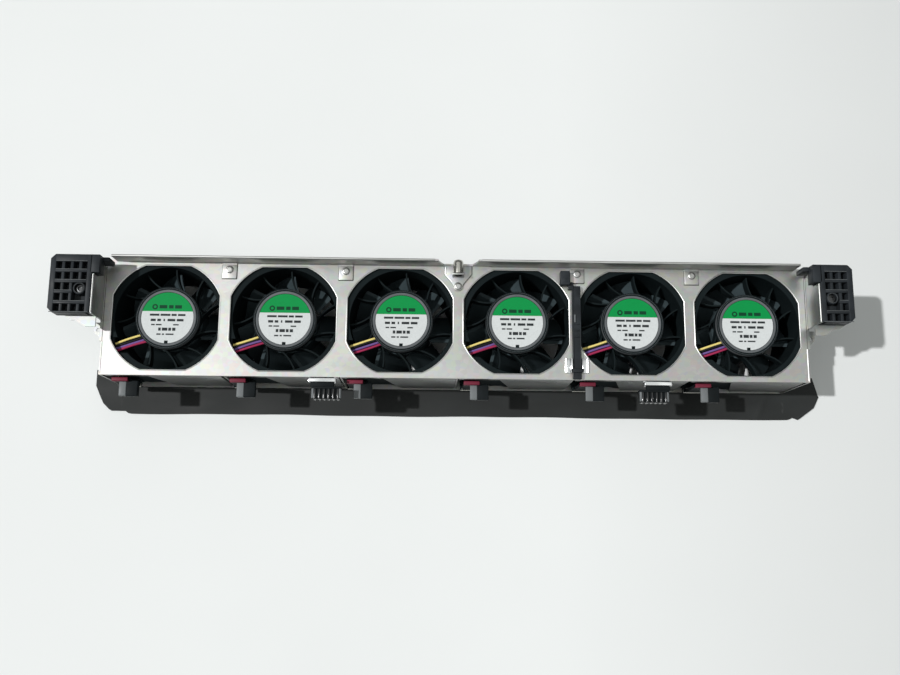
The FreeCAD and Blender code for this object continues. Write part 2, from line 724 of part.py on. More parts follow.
def make_clips():
    """Steel clip on the plate's front edge, open to the front and back."""
    clips = []
    half = d.clip_width / 2
    wall = d.clip_thick
    back = clip_front + d.clip_depth
    for side, x, _ in BUTTONS:
        outside = box(side + "_clip_outside", (x - half, x + half), (clip_front, back),
                      (clip_low, clip_roof))
        hole = box(side + "_clip_hole", (x - half + wall, x + half - wall),
                   (clip_front - 1, back + 1), (clip_low + wall, clip_roof - wall))
        foot = box(side + "_clip_foot", (x - half, x + half), (clip_front, -cage_half),
                   (clip_low, clip_low + wall))
        clips.append(join(side + "_clip", cut(side + "_clip_ring", outside, hole), foot))
    finish(group("clip_set", *clips), "latch_clips")


def make_button(side, x, inwards):
    """Ribbed head in front of the clip, with a stem that slides in it."""
    name = side + "_button"
    head_back = clip_front - d.button_travel - d.button_gap
    head_front = head_back - d.button_length
    half = d.button_width / 2
    middle = x + d.button_shift * inwards
    low = plate_under + d.button_lift
    top = low + d.button_height
    head = box(name + "_head", (middle - half, middle + half), (head_front, head_back),
               (low, top))
    reach = d.clip_width / 2 - d.clip_thick - d.button_gap
    stem = box(name + "_stem", (x - reach, x + reach), (head_back, -cage_half - d.slide_gap),
               (clip_low + d.clip_thick + d.button_gap, clip_roof - d.clip_thick - d.button_gap))
    grooves = []
    for index in range(-2, 3):
        groove = middle + d.groove_pitch * index
        left, right = groove - d.groove_wide / 2, groove + d.groove_wide / 2
        grooves.append(box(f"{name}_groove_{index + 2}", (left, right),
                           (head_front - 1, head_back - 1), (top - d.groove_deep, top + 1)))
        grooves.append(box(f"{name}_front_groove_{index + 2}", (left, right),
                           (head_front - 1, head_front + d.groove_deep), (low - 1, top + 1)))
    finish(cut(name + "_body", join(name + "_solid", head, stem), *grooves),
           side + "_latch_button")


bar_place = divider_place(4) + d.bar_offset


def make_cable_bar():
    """Moulded strip up the plate between two ports, with a block at its top end."""
    half = d.bar_width / 2
    left = bar_place - half
    top = exhaust_face + d.bar_height
    bar = box("bar_strip", (left, bar_place + half), (-cage_half, d.bar_top),
              (exhaust_face, top))
    block_right = divider_place(4) + d.tab_offset - d.tab_width / 2 - d.bar_block_gap
    block = box("bar_block", (block_right - d.bar_block_wide, block_right),
                (d.bar_top, d.bar_top + d.bar_block_tall),
                (exhaust_face, top + d.bar_block_rise))
    neck = box("bar_neck", (block_right - 1, left + 1),
               (d.bar_top - d.bar_neck, d.bar_top + d.bar_neck), (exhaust_face, top))
    ridges = []
    for index in range(3):
        low = -d.ridge_pitch * (index + 0.5)
        ridges.append(box(f"bar_ridge_{index}", (left + 1, bar_place + half - 1),
                          (low, low + d.ridge_wide), (top - 0.2, top + 0.5)))
    finish(join("cable_bar_body", bar, block, neck, *ridges), "cable_bar")


def make_cable_clip():
    """Bent steel strap over the bar, with a foot on each side."""
    half = d.bar_width / 2 + d.bar_gap
    wall = d.tab_thick
    low = -cage_half + d.strap_margin
    span = (low, low + d.strap_length)
    outside = half + wall
    roof = exhaust_face + d.bar_height + d.bar_gap
    arch = box("strap_arch", (bar_place - outside, bar_place + outside), span,
               (exhaust_face, roof + wall))
    foot = box("strap_foot_sheet", (bar_place - outside - d.strap_foot,
                                    bar_place + outside + d.strap_foot), span,
               (exhaust_face, exhaust_face + wall))
    tunnel = box("strap_tunnel", (bar_place - half, bar_place + half),
                 (span[0] - 1, span[1] + 1), (exhaust_face - 1, roof))
    finish(cut("cable_clip_body", join("strap_solid", arch, foot), tunnel), "cable_clip")


# --- one fan, built about its own axis and repeated in every bay ---------------------------

def vane_set():
    """Bent vanes from the motor base to the bore, trimmed inside the frame's wall."""
    top = module_top - d.vane_sink
    low = top - d.vane_depth
    centre = (fan_bore / 2 + d.vane_bend, -d.vane_drop, low)
    bent = ring("vane_bent", centre, d.vane_radius * 2 + d.vane_thick,
                d.vane_radius * 2 - d.vane_thick, d.vane_depth)
    window = box("vane_window", (d.hub_dia / 2 - 1.5, fan_bore / 2 + 0.5),
                 (-d.vane_sweep / 4, d.vane_sweep), (low, top))
    vane = common("vane", bent, window)
    vanes = [copy(f"vane_{turn}", vane, (0, 0, 0), ((0, 0, 1), 360 / VANES * turn))
             for turn in range(VANES)]
    limit = rod("vane_limit", (0, 0, low), fan_bore + d.bore_wall, d.vane_depth)
    return common("vanes", join("vane_ring", *vanes), limit)


def wire_starts():
    """Height in Y of each wire where it leaves the hub."""
    return [-d.wire_top - d.wire_pitch * number for number in range(4)]


wire_level = module_top - d.wire_sink
plug_left = frame_front + d.plug_wall
plug_right = plug_left + d.plug_thick
plug_top = -d.plug_place
plug_low = plug_top - d.plug_width
plug_high = module_top - d.slide_gap


def make_fan_frame():
    half = d.fan_size / 2
    square = box("frame_square", (-half, half), (-half, half), (frame_low, module_top))
    circle = rod("frame_circle", (0, 0, frame_low), (half + d.corner_reach) * 2, d.fan_depth)
    shell = common("frame_shell", square, circle)
    skirt = rod("frame_skirt", (0, 0, module_low), d.fan_size, frame_low - module_low)
    lug_top = d.latch_pivot + d.pivot_dia * 2
    lug_low = d.latch_pivot - d.pivot_dia * 2
    lug_face = frame_front - d.cap_leg
    reach = d.latch_width / 2 + d.lug_side_gap
    left = -d.latch_place - reach - d.lug_thick
    right = -d.latch_place + reach + d.lug_thick
    lug_plate = box("lug_plate", (left, right), (lug_face, frame_front + 1),
                    (lug_low, lug_top))
    lug_out = lug_face - d.latch_gap - d.latch_thick
    lugs = [box(f"lug_{number}", (edge, edge + d.lug_thick), (lug_out, lug_face + 0.5),
                (d.latch_pivot - d.pivot_dia, d.latch_pivot + d.pivot_dia))
            for number, edge in enumerate((left, right - d.lug_thick))]
    outside = join("frame_outside", shell, skirt, lug_plate, *lugs)
    bore = rod("frame_bore", (0, 0, module_low - 1), fan_bore, d.cage_depth)
    eye = rod("lug_eye", (left - 1, latch_axis_y, d.latch_pivot),
              d.pivot_dia + d.pivot_gap * 2, right - left + 2, "X")
    pocket = box("plug_pocket", (plug_left, -fan_bore / 3), (plug_low, plug_top),
                 (plug_high - d.plug_height, module_top + 1))
    tube_low = hub_low - d.tube_length
    base = rod("motor_base", (0, 0, hub_low), d.hub_dia, d.hub_thick)
    tube = rod("bearing_tube", (0, 0, tube_low), d.bearing_dia + d.tube_wall * 2,
               d.tube_length + 1)
    hollow = cut("frame_hollow", outside, bore, eye, pocket)
    whole = join("frame_whole", hollow, base, tube, vane_set())
    seat = rod("label_seat", (0, 0, module_top - d.label_sink), d.label_dia + 0.4, 2)
    tube_bore = rod("tube_bore", (0, 0, tube_low - 1), d.bearing_dia + 0.1,
                    d.tube_length + 1)
    slot = box("wire_slot", (-d.hub_dia / 2 - 1, -d.hub_dia / 2 + d.wire_slot_depth + 2),
               (wire_starts()[3] - d.wire_dia, wire_starts()[0] + d.wire_dia),
               (wire_level - d.wire_dia * 0.75, wire_level + d.wire_dia * 0.75))
    return cut("fan_frame", whole, seat, tube_bore, slot)


latch_out = frame_front - d.cap_leg - d.latch_gap
latch_axis_y = latch_out - d.latch_thick / 2


def make_cap():
    """Stamped steel cap on the fan's front, with two short legs to the frame."""
    low, top = module_low + d.cap_margin * 3, module_top - d.cap_margin / 2
    left = -d.cap_left
    edge = (bay_pitch - d.sheet_thick - d.slide_gap) / 2
    right = edge - d.fan_shift
    face = prism("cap_face", "XZ",
                 [(-edge - d.fan_shift, top - d.cap_strip), (left, top - d.cap_strip),
                  (left + d.cap_slant, low), (right, low), (right, top),
                  (-edge - d.fan_shift, top)], d.cap_thick)
    place(face, (0, frame_front - d.cap_leg, 0))
    inset = d.cap_leg_inset
    legs = [box(f"cap_leg_{number}", (start, start + d.cap_thick),
                (frame_front - d.cap_leg - d.cap_thick / 2, frame_front),
                (low + inset, top - inset))
            for number, start in enumerate((left + d.cap_slant + inset, d.cap_leg_place))]
    return join("fan_cap", face, *legs)


def make_impeller():
    cup = rod("cup_outside", (0, 0, rotor_low), d.rotor_dia, d.rotor_length)
    cup_hole = rod("cup_inside", (0, 0, rotor_low + d.rotor_wall),
                   d.rotor_dia - d.rotor_wall * 2, d.rotor_length)
    flat = box("blade_flat", (d.rotor_dia / 2 - 1, fan_bore / 2 + 1),
               (-d.blade_thick / 2, d.blade_thick / 2),
               (-d.blade_length / 2, d.blade_length / 2))
    tilted = copy("blade_tilted", flat, (0, 0, rotor_low + d.rotor_length / 2),
                  ((1, 0, 0), BLADE_TILT))
    blades = [copy(f"blade_{turn}", tilted, (0, 0, 0), ((0, 0, 1), 360 / BLADES * turn))
              for turn in range(BLADES)]
    sweep = ring("blade_sweep", (0, 0, rotor_low + d.blade_margin),
                 fan_bore - d.blade_gap * 2, d.rotor_dia - d.rotor_wall,
                 d.rotor_length - d.blade_margin * 2)
    trimmed = common("blades_trimmed", join("blade_set", *blades), sweep)
    shell = cut("cup", cup, cup_hole)
    shaft = rod("shaft", (0, 0, rotor_low + d.rotor_wall / 2), d.shaft_dia,
                d.rotor_length + d.rotor_gap / 2)
    return join("impeller", shell, trimmed, shaft)


def make_motor():
    """Stator, board and two bearings around and inside the bearing tube."""
    tube = d.bearing_dia + d.tube_wall * 2 + 0.1
    outside = d.rotor_dia - d.rotor_wall * 2 - d.stator_gap * 2
    stator_low = hub_low - d.tube_length + 2
    stator = ring("stator", (0, 0, stator_low), outside, tube, d.stator_length)
    board = ring("board", (0, 0, stator_low + d.stator_length), outside + 1, tube,
                 d.board_thick)
    bore = d.shaft_dia + d.shaft_gap * 2
    tube_low = hub_low - d.tube_length
    low_bearing = ring("low_bearing", (0, 0, tube_low + 0.5), d.bearing_dia, bore,
                       d.bearing_width)
    high_bearing = ring("high_bearing", (0, 0, rotor_top - d.bearing_width - 1),
                        d.bearing_dia, bore, d.bearing_width)
    return group("motor", stator, board, low_bearing, high_bearing)


def make_label():
    seat = module_top - d.label_sink
    disc = rod("label_disc", (0, 0, seat), d.label_dia, d.label_thick)
    half = d.label_notch / 2
    notch = box("label_notch_cut", (-half, half), (-d.label_dia / 2 - 1,
                                                   -d.label_dia / 2 + 1.5),
                (seat - 1, seat + 1))
    return cut("label", disc, notch)


def make_harness():
    """Four wires side by side, from the slot in the hub to the connector strip."""
    start_x = -d.hub_dia / 2 + d.wire_slot_depth
    lay = FreeCAD.Rotation(FreeCAD.Vector(0, 1, 0), 90)
    turn = FreeCAD.Rotation(FreeCAD.Vector(0, 0, 1), 180 + WIRE_LEAN)
    inside = box("wire_reach", (plug_right, 0), (-d.fan_size / 2, 0),
                 (wire_level - d.wire_dia, wire_level + d.wire_dia))
    wires = []
    for number, start_y in enumerate(wire_starts()):
        spot = (start_x, start_y, wire_level)
        wire = rod(f"wire_{number}", spot, d.wire_dia, d.fan_size / 2)
        wire.Placement = FreeCAD.Placement(wire.Placement.Base, turn * lay)
        wires.append(common(f"wire_trimmed_{number}", wire,
                            copy(f"wire_reach_{number}", inside, (0, 0, 0))))
    strip = box("plug_strip", (plug_left, plug_right), (plug_low, plug_top),
                (plug_high - d.plug_height, plug_high))
    return group("harness", strip, *wires)


def make_latch():
    """Arm on a pin, with a finger lever and a block beside it."""
    middle = -d.latch_place
    half = d.latch_width / 2
    top = d.latch_pivot + d.latch_reach
    out = latch_out - d.latch_thick
    arm = box("latch_arm", (middle - half, middle + half), (out, latch_out),
              (d.latch_pivot - d.latch_thick, top))
    lever_top = top - d.lever_drop
    lever_left = middle + d.lever_offset - d.lever_width / 2
    lever_right = lever_left + d.lever_width
    back = out + d.latch_thick / 4
    lever = box("latch_lever", (lever_left, lever_right), (out - d.lever_length, back),
                (lever_top - d.lever_thick, lever_top))
    stop = box("latch_stop", (lever_right - 0.1, lever_right + d.stop_width),
               (out - d.stop_length, back), (lever_top - d.stop_thick, lever_top))
    pin_half = half + d.lug_side_gap + d.lug_thick
    pin = rod("latch_pin", (middle - pin_half, latch_axis_y, d.latch_pivot), d.pivot_dia,
              pin_half * 2, "X")
    return join("latch", arm, lever, stop, pin)


def make_fans():
    masters = {
        "frame": make_fan_frame(),
        "cap": make_cap(),
        "impeller": make_impeller(),
        "motor": make_motor(),
        "label": make_label(),
        "harness": make_harness(),
        "latch": make_latch(),
    }
    for bay in BAYS:
        for piece, master in masters.items():
            name = f"fan_{bay}_{piece}"
            axis = bay_place(bay) + d.fan_shift
            finish(copy(name + "_place", master, (axis, 0, 0)), name)


def check_and_write():
    doc.recompute()
    for thing in doc.Objects:
        if "Invalid" in thing.State or "Error" in thing.State:
            raise RuntimeError(f"{thing.Name} did not recompute: {thing.State}")
    os.makedirs("parts", exist_ok=True)
    for node in nodes:
        shape = node.Shape
        if shape.isNull() or not shape.isValid() or not shape.Solids:
            raise RuntimeError(f"{node.Label} has no valid solid")
    for node in nodes:
        node.Shape.exportStep(f"parts/{node.Label}.step")


make_exhaust_plate()
make_intake_plate()
make_rear_pan()
make_dividers()
make_rivets()
make_pin_bracket()
make_guide_pin()
for end in ("left", "right"):
    make_end_bracket(end)
    make_guide_block(end)
make_block_screws()
make_flap()
make_clips()
for button in BUTTONS:
    make_button(*button)
make_cable_bar()
make_cable_clip()
make_fans()
check_and_write()
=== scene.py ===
"""Looks of the server fan module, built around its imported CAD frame.

Sizes here are millimetres in the row frame and become metres when a mesh is made.
"""

import json
import math

import bmesh
import bpy
from mathutils import Matrix, Vector


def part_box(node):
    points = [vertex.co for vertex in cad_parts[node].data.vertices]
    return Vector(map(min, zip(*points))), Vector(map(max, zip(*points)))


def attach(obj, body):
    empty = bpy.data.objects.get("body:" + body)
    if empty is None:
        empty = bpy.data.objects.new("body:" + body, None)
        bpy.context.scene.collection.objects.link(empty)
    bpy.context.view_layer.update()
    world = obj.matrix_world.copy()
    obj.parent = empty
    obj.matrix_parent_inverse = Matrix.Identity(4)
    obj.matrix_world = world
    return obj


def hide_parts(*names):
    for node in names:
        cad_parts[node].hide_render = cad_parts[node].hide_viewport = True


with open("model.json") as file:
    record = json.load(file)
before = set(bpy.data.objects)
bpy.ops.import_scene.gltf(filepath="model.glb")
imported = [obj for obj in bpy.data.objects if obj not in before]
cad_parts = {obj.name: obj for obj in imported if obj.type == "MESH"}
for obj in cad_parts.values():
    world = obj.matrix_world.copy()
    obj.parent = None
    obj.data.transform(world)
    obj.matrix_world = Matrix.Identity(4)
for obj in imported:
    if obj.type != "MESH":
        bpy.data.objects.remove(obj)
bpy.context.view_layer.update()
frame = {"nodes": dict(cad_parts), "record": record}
nodes = frame["nodes"]

MM = 0.001
BAYS = range(1, 7)
SIDES = (("left", -1), ("right", 1))


def span(node):
    """Lowest and highest corner of a CAD node, in millimetres."""
    low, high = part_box(node)
    return low / MM, high / MM


plate_low, plate_high = span("exhaust_plate")
PLATE_TOP = plate_high.z
FRONT = plate_low.y
REAR = plate_high.y
END = plate_high.x
LIP_TOP = span("rear_pan")[1].z
LIP_BACK = span("rear_pan")[1].y
LIP_END = END - 5.8
HUB_TOP = span("fan_1_frame")[1].z
FAN_X = {bay: sum(span(f"fan_{bay}_impeller"), Vector()).x / 2 for bay in BAYS}
PITCH = FAN_X[2] - FAN_X[1]
DIVIDER_X = {bay: (bay - 3) * PITCH for bay in range(1, 6)}
PORT_X = {bay: (bay - 3.5) * PITCH + 0.3 for bay in BAYS}
PORT_HALF = 29.0
PORT_ROUND = 31.5


# --- materials ---------------------------------------------------------------------------

class Graph:
    """A material's node tree, with the few nodes that these materials are made of."""

    def __init__(self, name):
        self.material = bpy.data.materials.new(name)
        self.material.use_nodes = True
        self.tree = self.material.node_tree
        self.shader = self.tree.nodes["Principled BSDF"]
        self.place = self.add("ShaderNodeTexCoord").outputs["Object"]

    def add(self, kind, **values):
        node = self.tree.nodes.new(kind)
        for key, value in values.items():
            setattr(node, key, value)
        return node

    def link(self, source, target):
        self.tree.links.new(source, target)

    def stretched(self, scale):
        """Coordinates in millimetres, divided by a length in each direction."""
        mapping = self.add("ShaderNodeMapping")
        mapping.inputs["Scale"].default_value = [1 / (length * MM) for length in scale]
        self.link(self.place, mapping.inputs["Vector"])
        return mapping.outputs["Vector"]

    def noise(self, scale, detail=3.0, rough=0.55):
        texture = self.add("ShaderNodeTexNoise")
        texture.inputs["Scale"].default_value = 1.0
        texture.inputs["Detail"].default_value = detail
        texture.inputs["Roughness"].default_value = rough
        self.link(self.stretched(scale), texture.inputs["Vector"])
        return texture.outputs["Fac"]

    def cells(self, scale):
        texture = self.add("ShaderNodeTexVoronoi")
        texture.inputs["Scale"].default_value = 1.0
        self.link(self.stretched(scale), texture.inputs["Vector"])
        return texture.outputs["Color"]

    def ramp(self, factor, *stops):
        node = self.add("ShaderNodeValToRGB")
        elements = node.color_ramp.elements
        while len(elements) < len(stops):
            elements.new(0.5)
        for element, (position, colour) in zip(elements, stops):
            element.position = position
            if not isinstance(colour, tuple):
                colour = (colour, colour, colour)
            element.color = (*colour, 1)
        self.link(factor, node.inputs["Fac"])
        return node.outputs["Color"]

    def mix(self, factor, first, second, blend="MIX"):
        node = self.add("ShaderNodeMix", data_type="RGBA", blend_type=blend)
        for value, socket in ((factor, 0), (first, 6), (second, 7)):
            if isinstance(value, bpy.types.NodeSocket):
                self.link(value, node.inputs[socket])
            elif socket:
                node.inputs[socket].default_value = (*value, 1)
            else:
                node.inputs[socket].default_value = value
        return node.outputs[2]

    def bump(self, height, strength, distance):
        node = self.add("ShaderNodeBump")
        node.inputs["Strength"].default_value = strength
        node.inputs["Distance"].default_value = distance * MM
        self.link(height, node.inputs["Height"])
        self.link(node.outputs["Normal"], self.shader.inputs["Normal"])

    def set(self, **values):
        for key, value in values.items():
            self.shader.inputs[key.replace("_", " ")].default_value = value

    def colour(self, socket):
        self.link(socket, self.shader.inputs["Base Color"])

    def rough(self, socket):
        self.link(socket, self.shader.inputs["Roughness"])


def shade(colour, factor):
    return tuple(min(1.0, channel * factor) for channel in colour)


def steel(name, tone, rough, spangle=0.06, brushed=(30, 0.5, 0.5)):
    """Zinc-plated sheet: faint crystals, fine rolling lines and handling smears."""
    graph = Graph(name)
    crystals = graph.cells((2.6, 2.2, 2.4))
    smear = graph.noise((38, 22, 22), 4)
    lines = graph.noise(brushed, 3)
    base = graph.ramp(smear, (0.35, shade(tone, 0.90)), (0.7, shade(tone, 1.06)))
    base = graph.mix(spangle, base, crystals, "OVERLAY")
    base = graph.mix(0.12, base, graph.ramp(lines, (0.3, 0.72), (0.7, 1.0)), "MULTIPLY")
    graph.colour(base)
    graph.rough(graph.ramp(smear, (0.3, rough - 0.06), (0.75, rough + 0.1)))
    graph.set(Metallic=1.0)
    graph.bump(lines, 0.12, 0.05)
    return graph.material


def plastic(name, tone, rough, grain=0.5, wear=1.6, gloss=0.2):
    """Moulded plastic: fine spark-eroded grain, dusty where it is handled."""
    graph = Graph(name)
    fine = graph.noise((grain, grain, grain), 2)
    broad = graph.noise((9, 9, 9), 4)
    graph.colour(graph.ramp(broad, (0.38, tone), (0.72, shade(tone, wear))))
    graph.rough(graph.ramp(broad, (0.3, rough - 0.08), (0.7, rough + 0.1)))
    graph.bump(fine, 0.25, 0.06)
    graph.set(Specular_IOR_Level=gloss)
    return graph.material


def print_film(name, tone, rough=0.55):
    """Printed label film: slight ink mottle under a thin gloss."""
    graph = Graph(name)
    mottle = graph.noise((0.8, 0.8, 0.8), 3)
    graph.colour(graph.ramp(mottle, (0.3, shade(tone, 0.93)), (0.7, shade(tone, 1.03))))
    graph.rough(graph.ramp(mottle, (0.3, rough), (0.7, rough + 0.08)))
    graph.bump(mottle, 0.05, 0.02)
    graph.set(Specular_IOR_Level=0.12)
    return graph.material


def film_sheet(name, tone):
    """Flexible seal: matt brown-black sheet with rub marks and pale scratches."""
    graph = Graph(name)
    cloud = graph.noise((26, 12, 8), 5)
    pores = graph.noise((0.7, 0.7, 0.7), 2)
    scratch = graph.noise((16, 0.6, 2), 2)
    base = graph.ramp(cloud, (0.3, shade(tone, 0.75)), (0.75, shade(tone, 1.5)))
    marks = graph.ramp(scratch, (0.72, 0.0), (0.8, 0.35))
    graph.colour(graph.mix(marks, base, shade(tone, 2.2)))
    graph.rough(graph.ramp(cloud, (0.3, 0.55), (0.75, 0.75)))
    graph.set(Specular_IOR_Level=0.34)
    graph.bump(pores, 0.3, 0.08)
    return graph.material


def chrome(name, tone, rough):
    graph = Graph(name)
    smear = graph.noise((5, 5, 5), 4)
    graph.colour(graph.ramp(smear, (0.3, shade(tone, 0.85)), (0.7, tone)))
    graph.rough(graph.ramp(smear, (0.3, rough), (0.7, rough + 0.12)))
    graph.set(Metallic=1.0)
    graph.bump(graph.noise((1.5, 1.5, 1.5), 2), 0.05, 0.03)
    return graph.material


MATERIALS = {
    "plate_steel": steel("plate_steel", (0.475, 0.475, 0.46), 0.46),
    "cap_steel": steel("cap_steel", (0.245, 0.25, 0.245), 0.40),
    "bracket_steel": steel("bracket_steel", (0.42, 0.43, 0.42), 0.46,
                           brushed=(0.5, 20, 0.5)),
    "rivet_steel": steel("rivet_steel", (0.50, 0.50, 0.485), 0.42, spangle=0.02),
    # A lighter copy of the plate steel: it paints highlights on port rims, bends and sheet
    # edges.
    "painted_highlight_steel": steel("painted_highlight_steel", (0.60, 0.60, 0.585), 0.38, spangle=0.0),
    "seam_shade": plastic("seam_shade", (0.10, 0.10, 0.095), 0.6, gloss=0.1),
    "pin_steel": chrome("pin_steel", (0.50, 0.49, 0.45), 0.22),
    # A near-black steel: painted shade on the screws sunk deep in the blocks' bosses.
    "screw_steel": chrome("screw_steel", (0.07, 0.072, 0.074), 0.28),
    "clip_chrome": chrome("clip_chrome", (0.75, 0.76, 0.77), 0.14),
    "block_plastic": plastic("block_plastic", (0.017, 0.020, 0.023), 0.46, 0.6, 1.8, 0.14),
    "latch_plastic": plastic("latch_plastic", (0.008, 0.010, 0.011), 0.50, gloss=0.06),
    # Both are black plastic. The frame's tone is darkened and the rotor's is lightened:
    # painted shade on the lit frame and painted light in the shaded fan interior.
    "fan_plastic": plastic("fan_plastic", (0.0075, 0.0115, 0.0125), 0.60, 0.8, 1.3, 0.05),
    "rotor_plastic": plastic("rotor_plastic", (0.036, 0.050, 0.055), 0.55, 0.9, 1.3, 0.06),
    # A lighter plastic that paints highlights on the block's rib tops and boss ring.
    "painted_highlight_plastic": plastic("painted_highlight_plastic", (0.085, 0.092, 0.095), 0.34, 0.6),
    "gloss_plastic": plastic("gloss_plastic", (0.012, 0.013, 0.014), 0.16, 0.8, gloss=0.5),
    "hub_plastic": plastic("hub_plastic", (0.098, 0.106, 0.112), 0.42, 0.5, 1.3, 0.25),
    "prong_plastic": plastic("prong_plastic", (0.14, 0.15, 0.155), 0.45, wear=1.2),
    "red_plastic": plastic("red_plastic", (0.13, 0.014, 0.030), 0.48, wear=1.3),
    "motor_metal": steel("motor_metal", (0.40, 0.25, 0.15), 0.45),
    "flap_film": film_sheet("flap_film", (0.0138, 0.0155, 0.0152)),
    "label_white": print_film("label_white", (0.62, 0.645, 0.645)),
    "label_green": print_film("label_green", (0.002, 0.265, 0.060)),
    "label_ink": print_film("label_ink", (0.030, 0.034, 0.036)),
    "label_ink_green": print_film("label_ink_green", (0.003, 0.050, 0.022)),
    "wire_yellow": print_film("wire_yellow", (0.80, 0.66, 0.22), 0.4),
    "wire_black": print_film("wire_black", (0.012, 0.012, 0.014), 0.4),
    "wire_violet": print_film("wire_violet", (0.17, 0.10, 0.30), 0.4),
    "wire_red": print_film("wire_red", (0.36, 0.03, 0.09), 0.4),
}
SLOT_FALLBACK = {"fan_label": "label_white", "wire_set": "wire_red"}


def dress_nodes():
    """Every CAD node gets the material of its slot."""
    for row in frame["record"]["subparts"]:
        slot_name = row["material_slot"]
        material = MATERIALS[SLOT_FALLBACK.get(slot_name, slot_name)]
        data = nodes[row["node"]].data
        data.materials.clear()
        data.materials.append(material)


# --- mesh building -------------------------------------------------------------------------

SHARP_ANGLE = 38


class Piece:
    """One mesh piece, gathered from bevelled solids, lathed forms and tubes."""

    def __init__(self, name, slot, body="cage"):
        self.name, self.slot, self.body = name, slot, body
        self.mesh = bmesh.new()
        self.materials = []

    def paint(self, material, faces):
        if material not in self.materials:
            self.materials.append(material)
        for face in faces:
            face.material_index = self.materials.index(material)

    def new_faces(self, before):
        return [face for face in self.mesh.faces if face not in before]

    def prism(self, outline, low, high, material, bevel=0.3, axis="Z", steps=2):
        """An outline raised along an axis, with its edges rounded."""
        before = set(self.mesh.faces)
        order = {"Z": lambda a, b, c: (a, b, c), "Y": lambda a, b, c: (a, c, b),
                 "X": lambda a, b, c: (c, a, b)}[axis]
        bottom = [self.mesh.verts.new(order(a, b, low)) for a, b in outline]
        top = [self.mesh.verts.new(order(a, b, high)) for a, b in outline]
        count = len(outline)
        faces = [self.mesh.faces.new(bottom[::-1]), self.mesh.faces.new(top)]
        for index in range(count):
            follow = (index + 1) % count
            faces.append(self.mesh.faces.new(
                (bottom[index], bottom[follow], top[follow], top[index])))
        bmesh.ops.recalc_face_normals(self.mesh, faces=faces)
        if bevel:
            edges = list({edge for face in faces for edge in face.edges})
            bmesh.ops.bevel(self.mesh, geom=edges, offset=bevel, segments=steps,
                            profile=0.5, affect="EDGES", clamp_overlap=True)
        self.paint(material, self.new_faces(before))

    def box(self, low, high, material, bevel=0.3, steps=2):
        outline = [(low[0], low[1]), (high[0], low[1]), (high[0], high[1]),
                   (low[0], high[1])]
        self.prism(outline, low[2], high[2], material, bevel, steps=steps)

    def lathe(self, profile, centre, material, axis="Z", turns=48):
        """A profile of (radius, height) points turned about an axis through a centre."""
        before = set(self.mesh.faces)
        place = {"Z": lambda r, angle, rise: (r * math.cos(angle), r * math.sin(angle), rise),
                 "Y": lambda r, angle, rise: (r * math.cos(angle), rise, r * math.sin(angle)),
                 "X": lambda r, angle, rise: (rise, r * math.cos(angle), r * math.sin(angle))}
        rings = []
        for radius, rise in profile:
            if radius == 0:
                rings.append([self.mesh.verts.new(
                    Vector(place[axis](0, 0, rise)) + Vector(centre))])
                continue
            rings.append([self.mesh.verts.new(
                Vector(place[axis](radius, math.tau * turn / turns, rise)) + Vector(centre))
                for turn in range(turns)])
        for first, second in zip(rings, rings[1:]):
            for turn in range(turns):
                follow = (turn + 1) % turns
                corners = [first[turn % len(first)], first[follow % len(first)],
                           second[follow % len(second)], second[turn % len(second)]]
                unique = list(dict.fromkeys(corners))
                if len(unique) > 2:
                    self.mesh.faces.new(unique)
        faces = self.new_faces(before)
        bmesh.ops.recalc_face_normals(self.mesh, faces=faces)
        self.paint(material, faces)

    def tube(self, path, radius, material, closed=False, sides=8):
        """A round section swept along a path, open with two ends or closed to a loop."""
        before = set(self.mesh.faces)
        path = [Vector(point) for point in path]
        count = len(path)
        rings = []
        for index, point in enumerate(path):
            ahead = path[(index + 1) % count] if closed or index + 1 < count else point
            behind = path[index - 1] if closed or index else point
            along = (ahead - behind).normalized()
            up = Vector((0, 0, 1)) if abs(along.z) < 0.9 else Vector((0, 1, 0))
            side = along.cross(up).normalized()
            up = side.cross(along)
            rings.append([self.mesh.verts.new(
                point + side * radius * math.cos(math.tau * turn / sides)
                + up * radius * math.sin(math.tau * turn / sides))
                for turn in range(sides)])
        pairs = list(zip(rings, rings[1:]))
        if closed:
            pairs.append((rings[-1], rings[0]))
        for first, second in pairs:
            for turn in range(sides):
                follow = (turn + 1) % sides
                self.mesh.faces.new((first[turn], first[follow], second[follow],
                                     second[turn]))
        if not closed:
            self.mesh.faces.new(rings[0][::-1])
            self.mesh.faces.new(rings[-1])
        faces = self.new_faces(before)
        bmesh.ops.recalc_face_normals(self.mesh, faces=faces)
        self.paint(material, faces)

    def done(self, *stands_for):
        """Makes the object, lets it ride on its body and hides what it stands for."""
        data = bpy.data.meshes.new(self.name)
        self.mesh.transform(Matrix.Scale(MM, 4))
        self.mesh.to_mesh(data)
        self.mesh.free()
        for material in self.materials:
            data.materials.append(MATERIALS[material])
        data.shade_smooth()
        data.set_sharp_from_angle(angle=math.radians(SHARP_ANGLE))
        thing = bpy.data.objects.new(self.name, data)
        bpy.context.scene.collection.objects.link(thing)
        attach(thing, self.body)
        if stands_for:
            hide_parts(*stands_for)


def port_outline(x, growth, arc_steps=8):
    """An air port's square whose corners follow a circle, grown outwards."""
    half = PORT_HALF + growth
    radius = PORT_ROUND + growth
    first = math.acos(half / radius)
    last = math.pi / 2 - first
    points = []
    for corner in range(4):
        for step in range(arc_steps + 1):
            angle = corner * math.pi / 2 + first + (last - first) * step / arc_steps
            points.append((x + radius * math.cos(angle), radius * math.sin(angle)))
    return points


# --- the cage's own detail -------------------------------------------------------------------

RIM_INSET = 0.36
RIM_RADIUS = 0.46
BEND_INSET = 0.55


